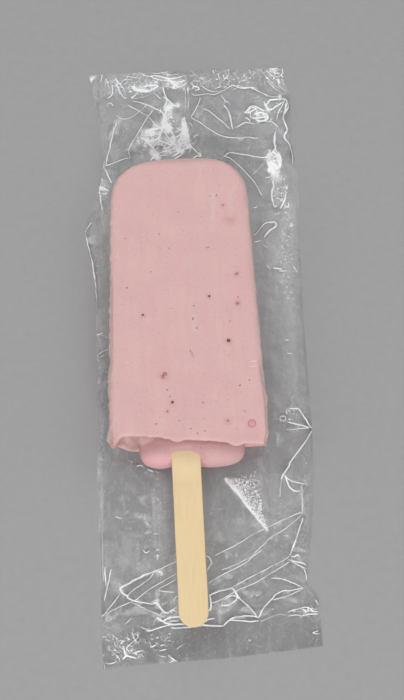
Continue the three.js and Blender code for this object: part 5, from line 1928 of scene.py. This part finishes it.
def film_piece():
    """The emptied bag: an upper layer, crinkled and creased, and a flat lower one, joined all round."""
    rng = np.random.default_rng(FILM_SEED)
    outline = bag_outline()
    points, edges, kept = film_points(outline, film_creases(rng))
    points += fill_points(outline, kept, points, rng)
    flat, faces = triangulated(points, edges, outline, UPPER_SLACK)
    used, faces = np.unique(faces, return_inverse=True)
    flat, faces = flat[used], faces.reshape(-1, 3)
    x, y = flat.T
    relief, painted_highlight, shade = film_relief(x, y, kept)
    upper = np.column_stack([flat, film_height(flat, outline, relief)])

    rim = boundary_loop(faces)
    under, under_faces = lower_layer(flat[rim], outline)
    lower = at_level(*under[len(rim):].T, FILM_BOTTOM)
    numbers = np.concatenate([rim, len(upper) + np.arange(len(lower))])
    all_faces = [tuple(face) for face in faces] + [tuple(numbers[face][::-1]) for face in under_faces]
    made = mesh_object("clear_bag", np.concatenate([upper, lower]), all_faces)
    # The crease, frost, gleam and bead looks are painted highlights and glints; the shade look is painted
    # shade beside creases and round the pop, and the crimps' darker film.
    looks = {
        "crease": painted_highlight,
        "frost": crinkling_and_painted_glints(x, y),
        "painted_gleam": soft_strokes(x, y, GLEAMS),
        "painted_glint_beads": glint_bead_density(x, y),
        "shade": shade + darker_film_and_painted_shadow(x, y),
    }
    in_sight = smoothstep(distance_from_pop(x, y), -0.5, 0.5)
    for name, values in looks.items():
        set_attribute(made.data, name, np.concatenate([values * in_sight, np.zeros(len(lower))]))
    return finished(made, film_material(), FILM_SHARP_ANGLE)


def edge_distance(points, outline):
    """How far each point lies from the outline."""
    best = np.full(len(points), np.inf)
    for start, end in zip(outline, np.roll(outline, -1, axis=0)):
        best = np.minimum(best, distance_to_line(points[:, 0], points[:, 1], start, end)[0])
    return best


def boundary_loop(faces):
    """The vertices round the open edge of a sheet of triangles, in order."""
    sides = {(a, b) for face in faces.tolist() for a, b in zip(face, face[1:] + face[:1])}
    following = {a: b for a, b in sides if (b, a) not in sides}
    loop = [next(iter(sorted(following)))]
    while following[loop[-1]] != loop[0]:
        loop.append(following[loop[-1]])
    return np.array(loop)


# ---------- the studio ----------

SENSOR, CLIP_START = 36, 0.01


def set_camera():
    """The camera that took the photograph."""
    data = bpy.data.cameras.new("camera")
    data.sensor_width = SENSOR
    data.lens = SENSOR * FOCAL_PIXELS / IMAGE_HEIGHT
    data.clip_start = CLIP_START
    camera = bpy.data.objects.new("camera", data)
    bpy.context.scene.collection.objects.link(camera)
    camera.matrix_world = Matrix.Translation(CAMERA_PLACE * MM) @ CAMERA_TURN.to_4x4()
    bpy.context.scene.camera = camera


# Azimuth from +Y towards +X, elevation, and power of each soft lamp.
LAMPS = [(180, 38, 9.5), (270, 38, 2.25), (90, 38, 1.3), (0, 38, 1.5), (45, 58, 2.9), (315, 58, 2.2)]
LAMP_DISTANCE, LAMP_WIDTH = 1.3, 0.8  # in metres
AMBIENT = 0.243  # strength of the white light from all round
FLOOR_HALF, FLOOR_DROP = 3000, 0.02  # its half width, and how far it lies below the bag, in millimetres


def light_studio():
    """Soft lamps round the object, most of the light from the photographer's side, and a white sky."""
    for number, (azimuth, elevation, power) in enumerate(LAMPS):
        data = bpy.data.lights.new(f"lamp_{number}", "AREA")
        data.shape = "SQUARE"
        data.size = LAMP_WIDTH
        data.energy = power
        lamp = bpy.data.objects.new(f"lamp_{number}", data)
        bpy.context.scene.collection.objects.link(lamp)
        turn, rise = math.radians(azimuth), math.radians(elevation)
        toward = Vector((math.sin(turn) * math.cos(rise), math.cos(turn) * math.cos(rise), math.sin(rise)))
        lamp.location = toward * LAMP_DISTANCE
        lamp.rotation_mode = "QUATERNION"
        lamp.rotation_quaternion = toward.to_track_quat("Z", "Y")
    world = bpy.data.worlds.new("studio")
    world.use_nodes = True
    background = world.node_tree.nodes["Background"]
    background.inputs["Color"].default_value = (1, 1, 1, 1)
    background.inputs["Strength"].default_value = AMBIENT
    bpy.context.scene.world = world
    bpy.context.scene.view_settings.view_transform = "Standard"


def lay_floor():
    half = FLOOR_HALF
    corners = [(-half, -half, 0), (half, -half, 0), (half, half, 0), (-half, half, 0)]
    floor = mesh_object("floor", corners, [(0, 1, 2, 3)], (0, 0, -FLOOR_DROP))
    floor.data.materials.append(floor_material())
    floor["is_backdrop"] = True


# ---------- the whole ----------


def add_piece(piece, node):
    """Declares a piece: it rides on the only body, and may stand for a CAD node."""
    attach(piece, "root")
    if node:
        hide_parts(node)


set_camera()
light_studio()
lay_floor()

cream = cream_piece()
add_piece(cream, "ice_body")
skin = BVHTree.FromObject(cream, bpy.context.evaluated_depsgraph_get())
FLECKS = {  # the named ones, their seed, and a dark and a pale colour
    "seed": (SEEDS, 11, colour(104, 56, 66), colour(142, 88, 96)),
    "speck": (SPECKS, 12, colour(160, 112, 120), colour(184, 136, 140)),
    "pulp": (PULP, 13, colour(184, 118, 114), colour(202, 142, 136)),
    "frost": (FROST_SLIVERS, 14, colour(232, 210, 205), colour(244, 228, 222)),
}
for kind, (named, random_seed, dark, pale) in FLECKS.items():
    material = fleck_material(kind, dark, pale)
    flecks = flecks_piece(kind + "_flecks", material, named, SMALL_FLECKS[kind], random_seed, skin)
    add_piece(flecks, None)
add_piece(stick_piece(), "stick")
add_piece(film_piece(), "wrapper")

boxes = {"cad": CAD_BOX, "visual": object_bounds()}
{name: [list(corner) for corner in box] for name, box in boxes.items()}
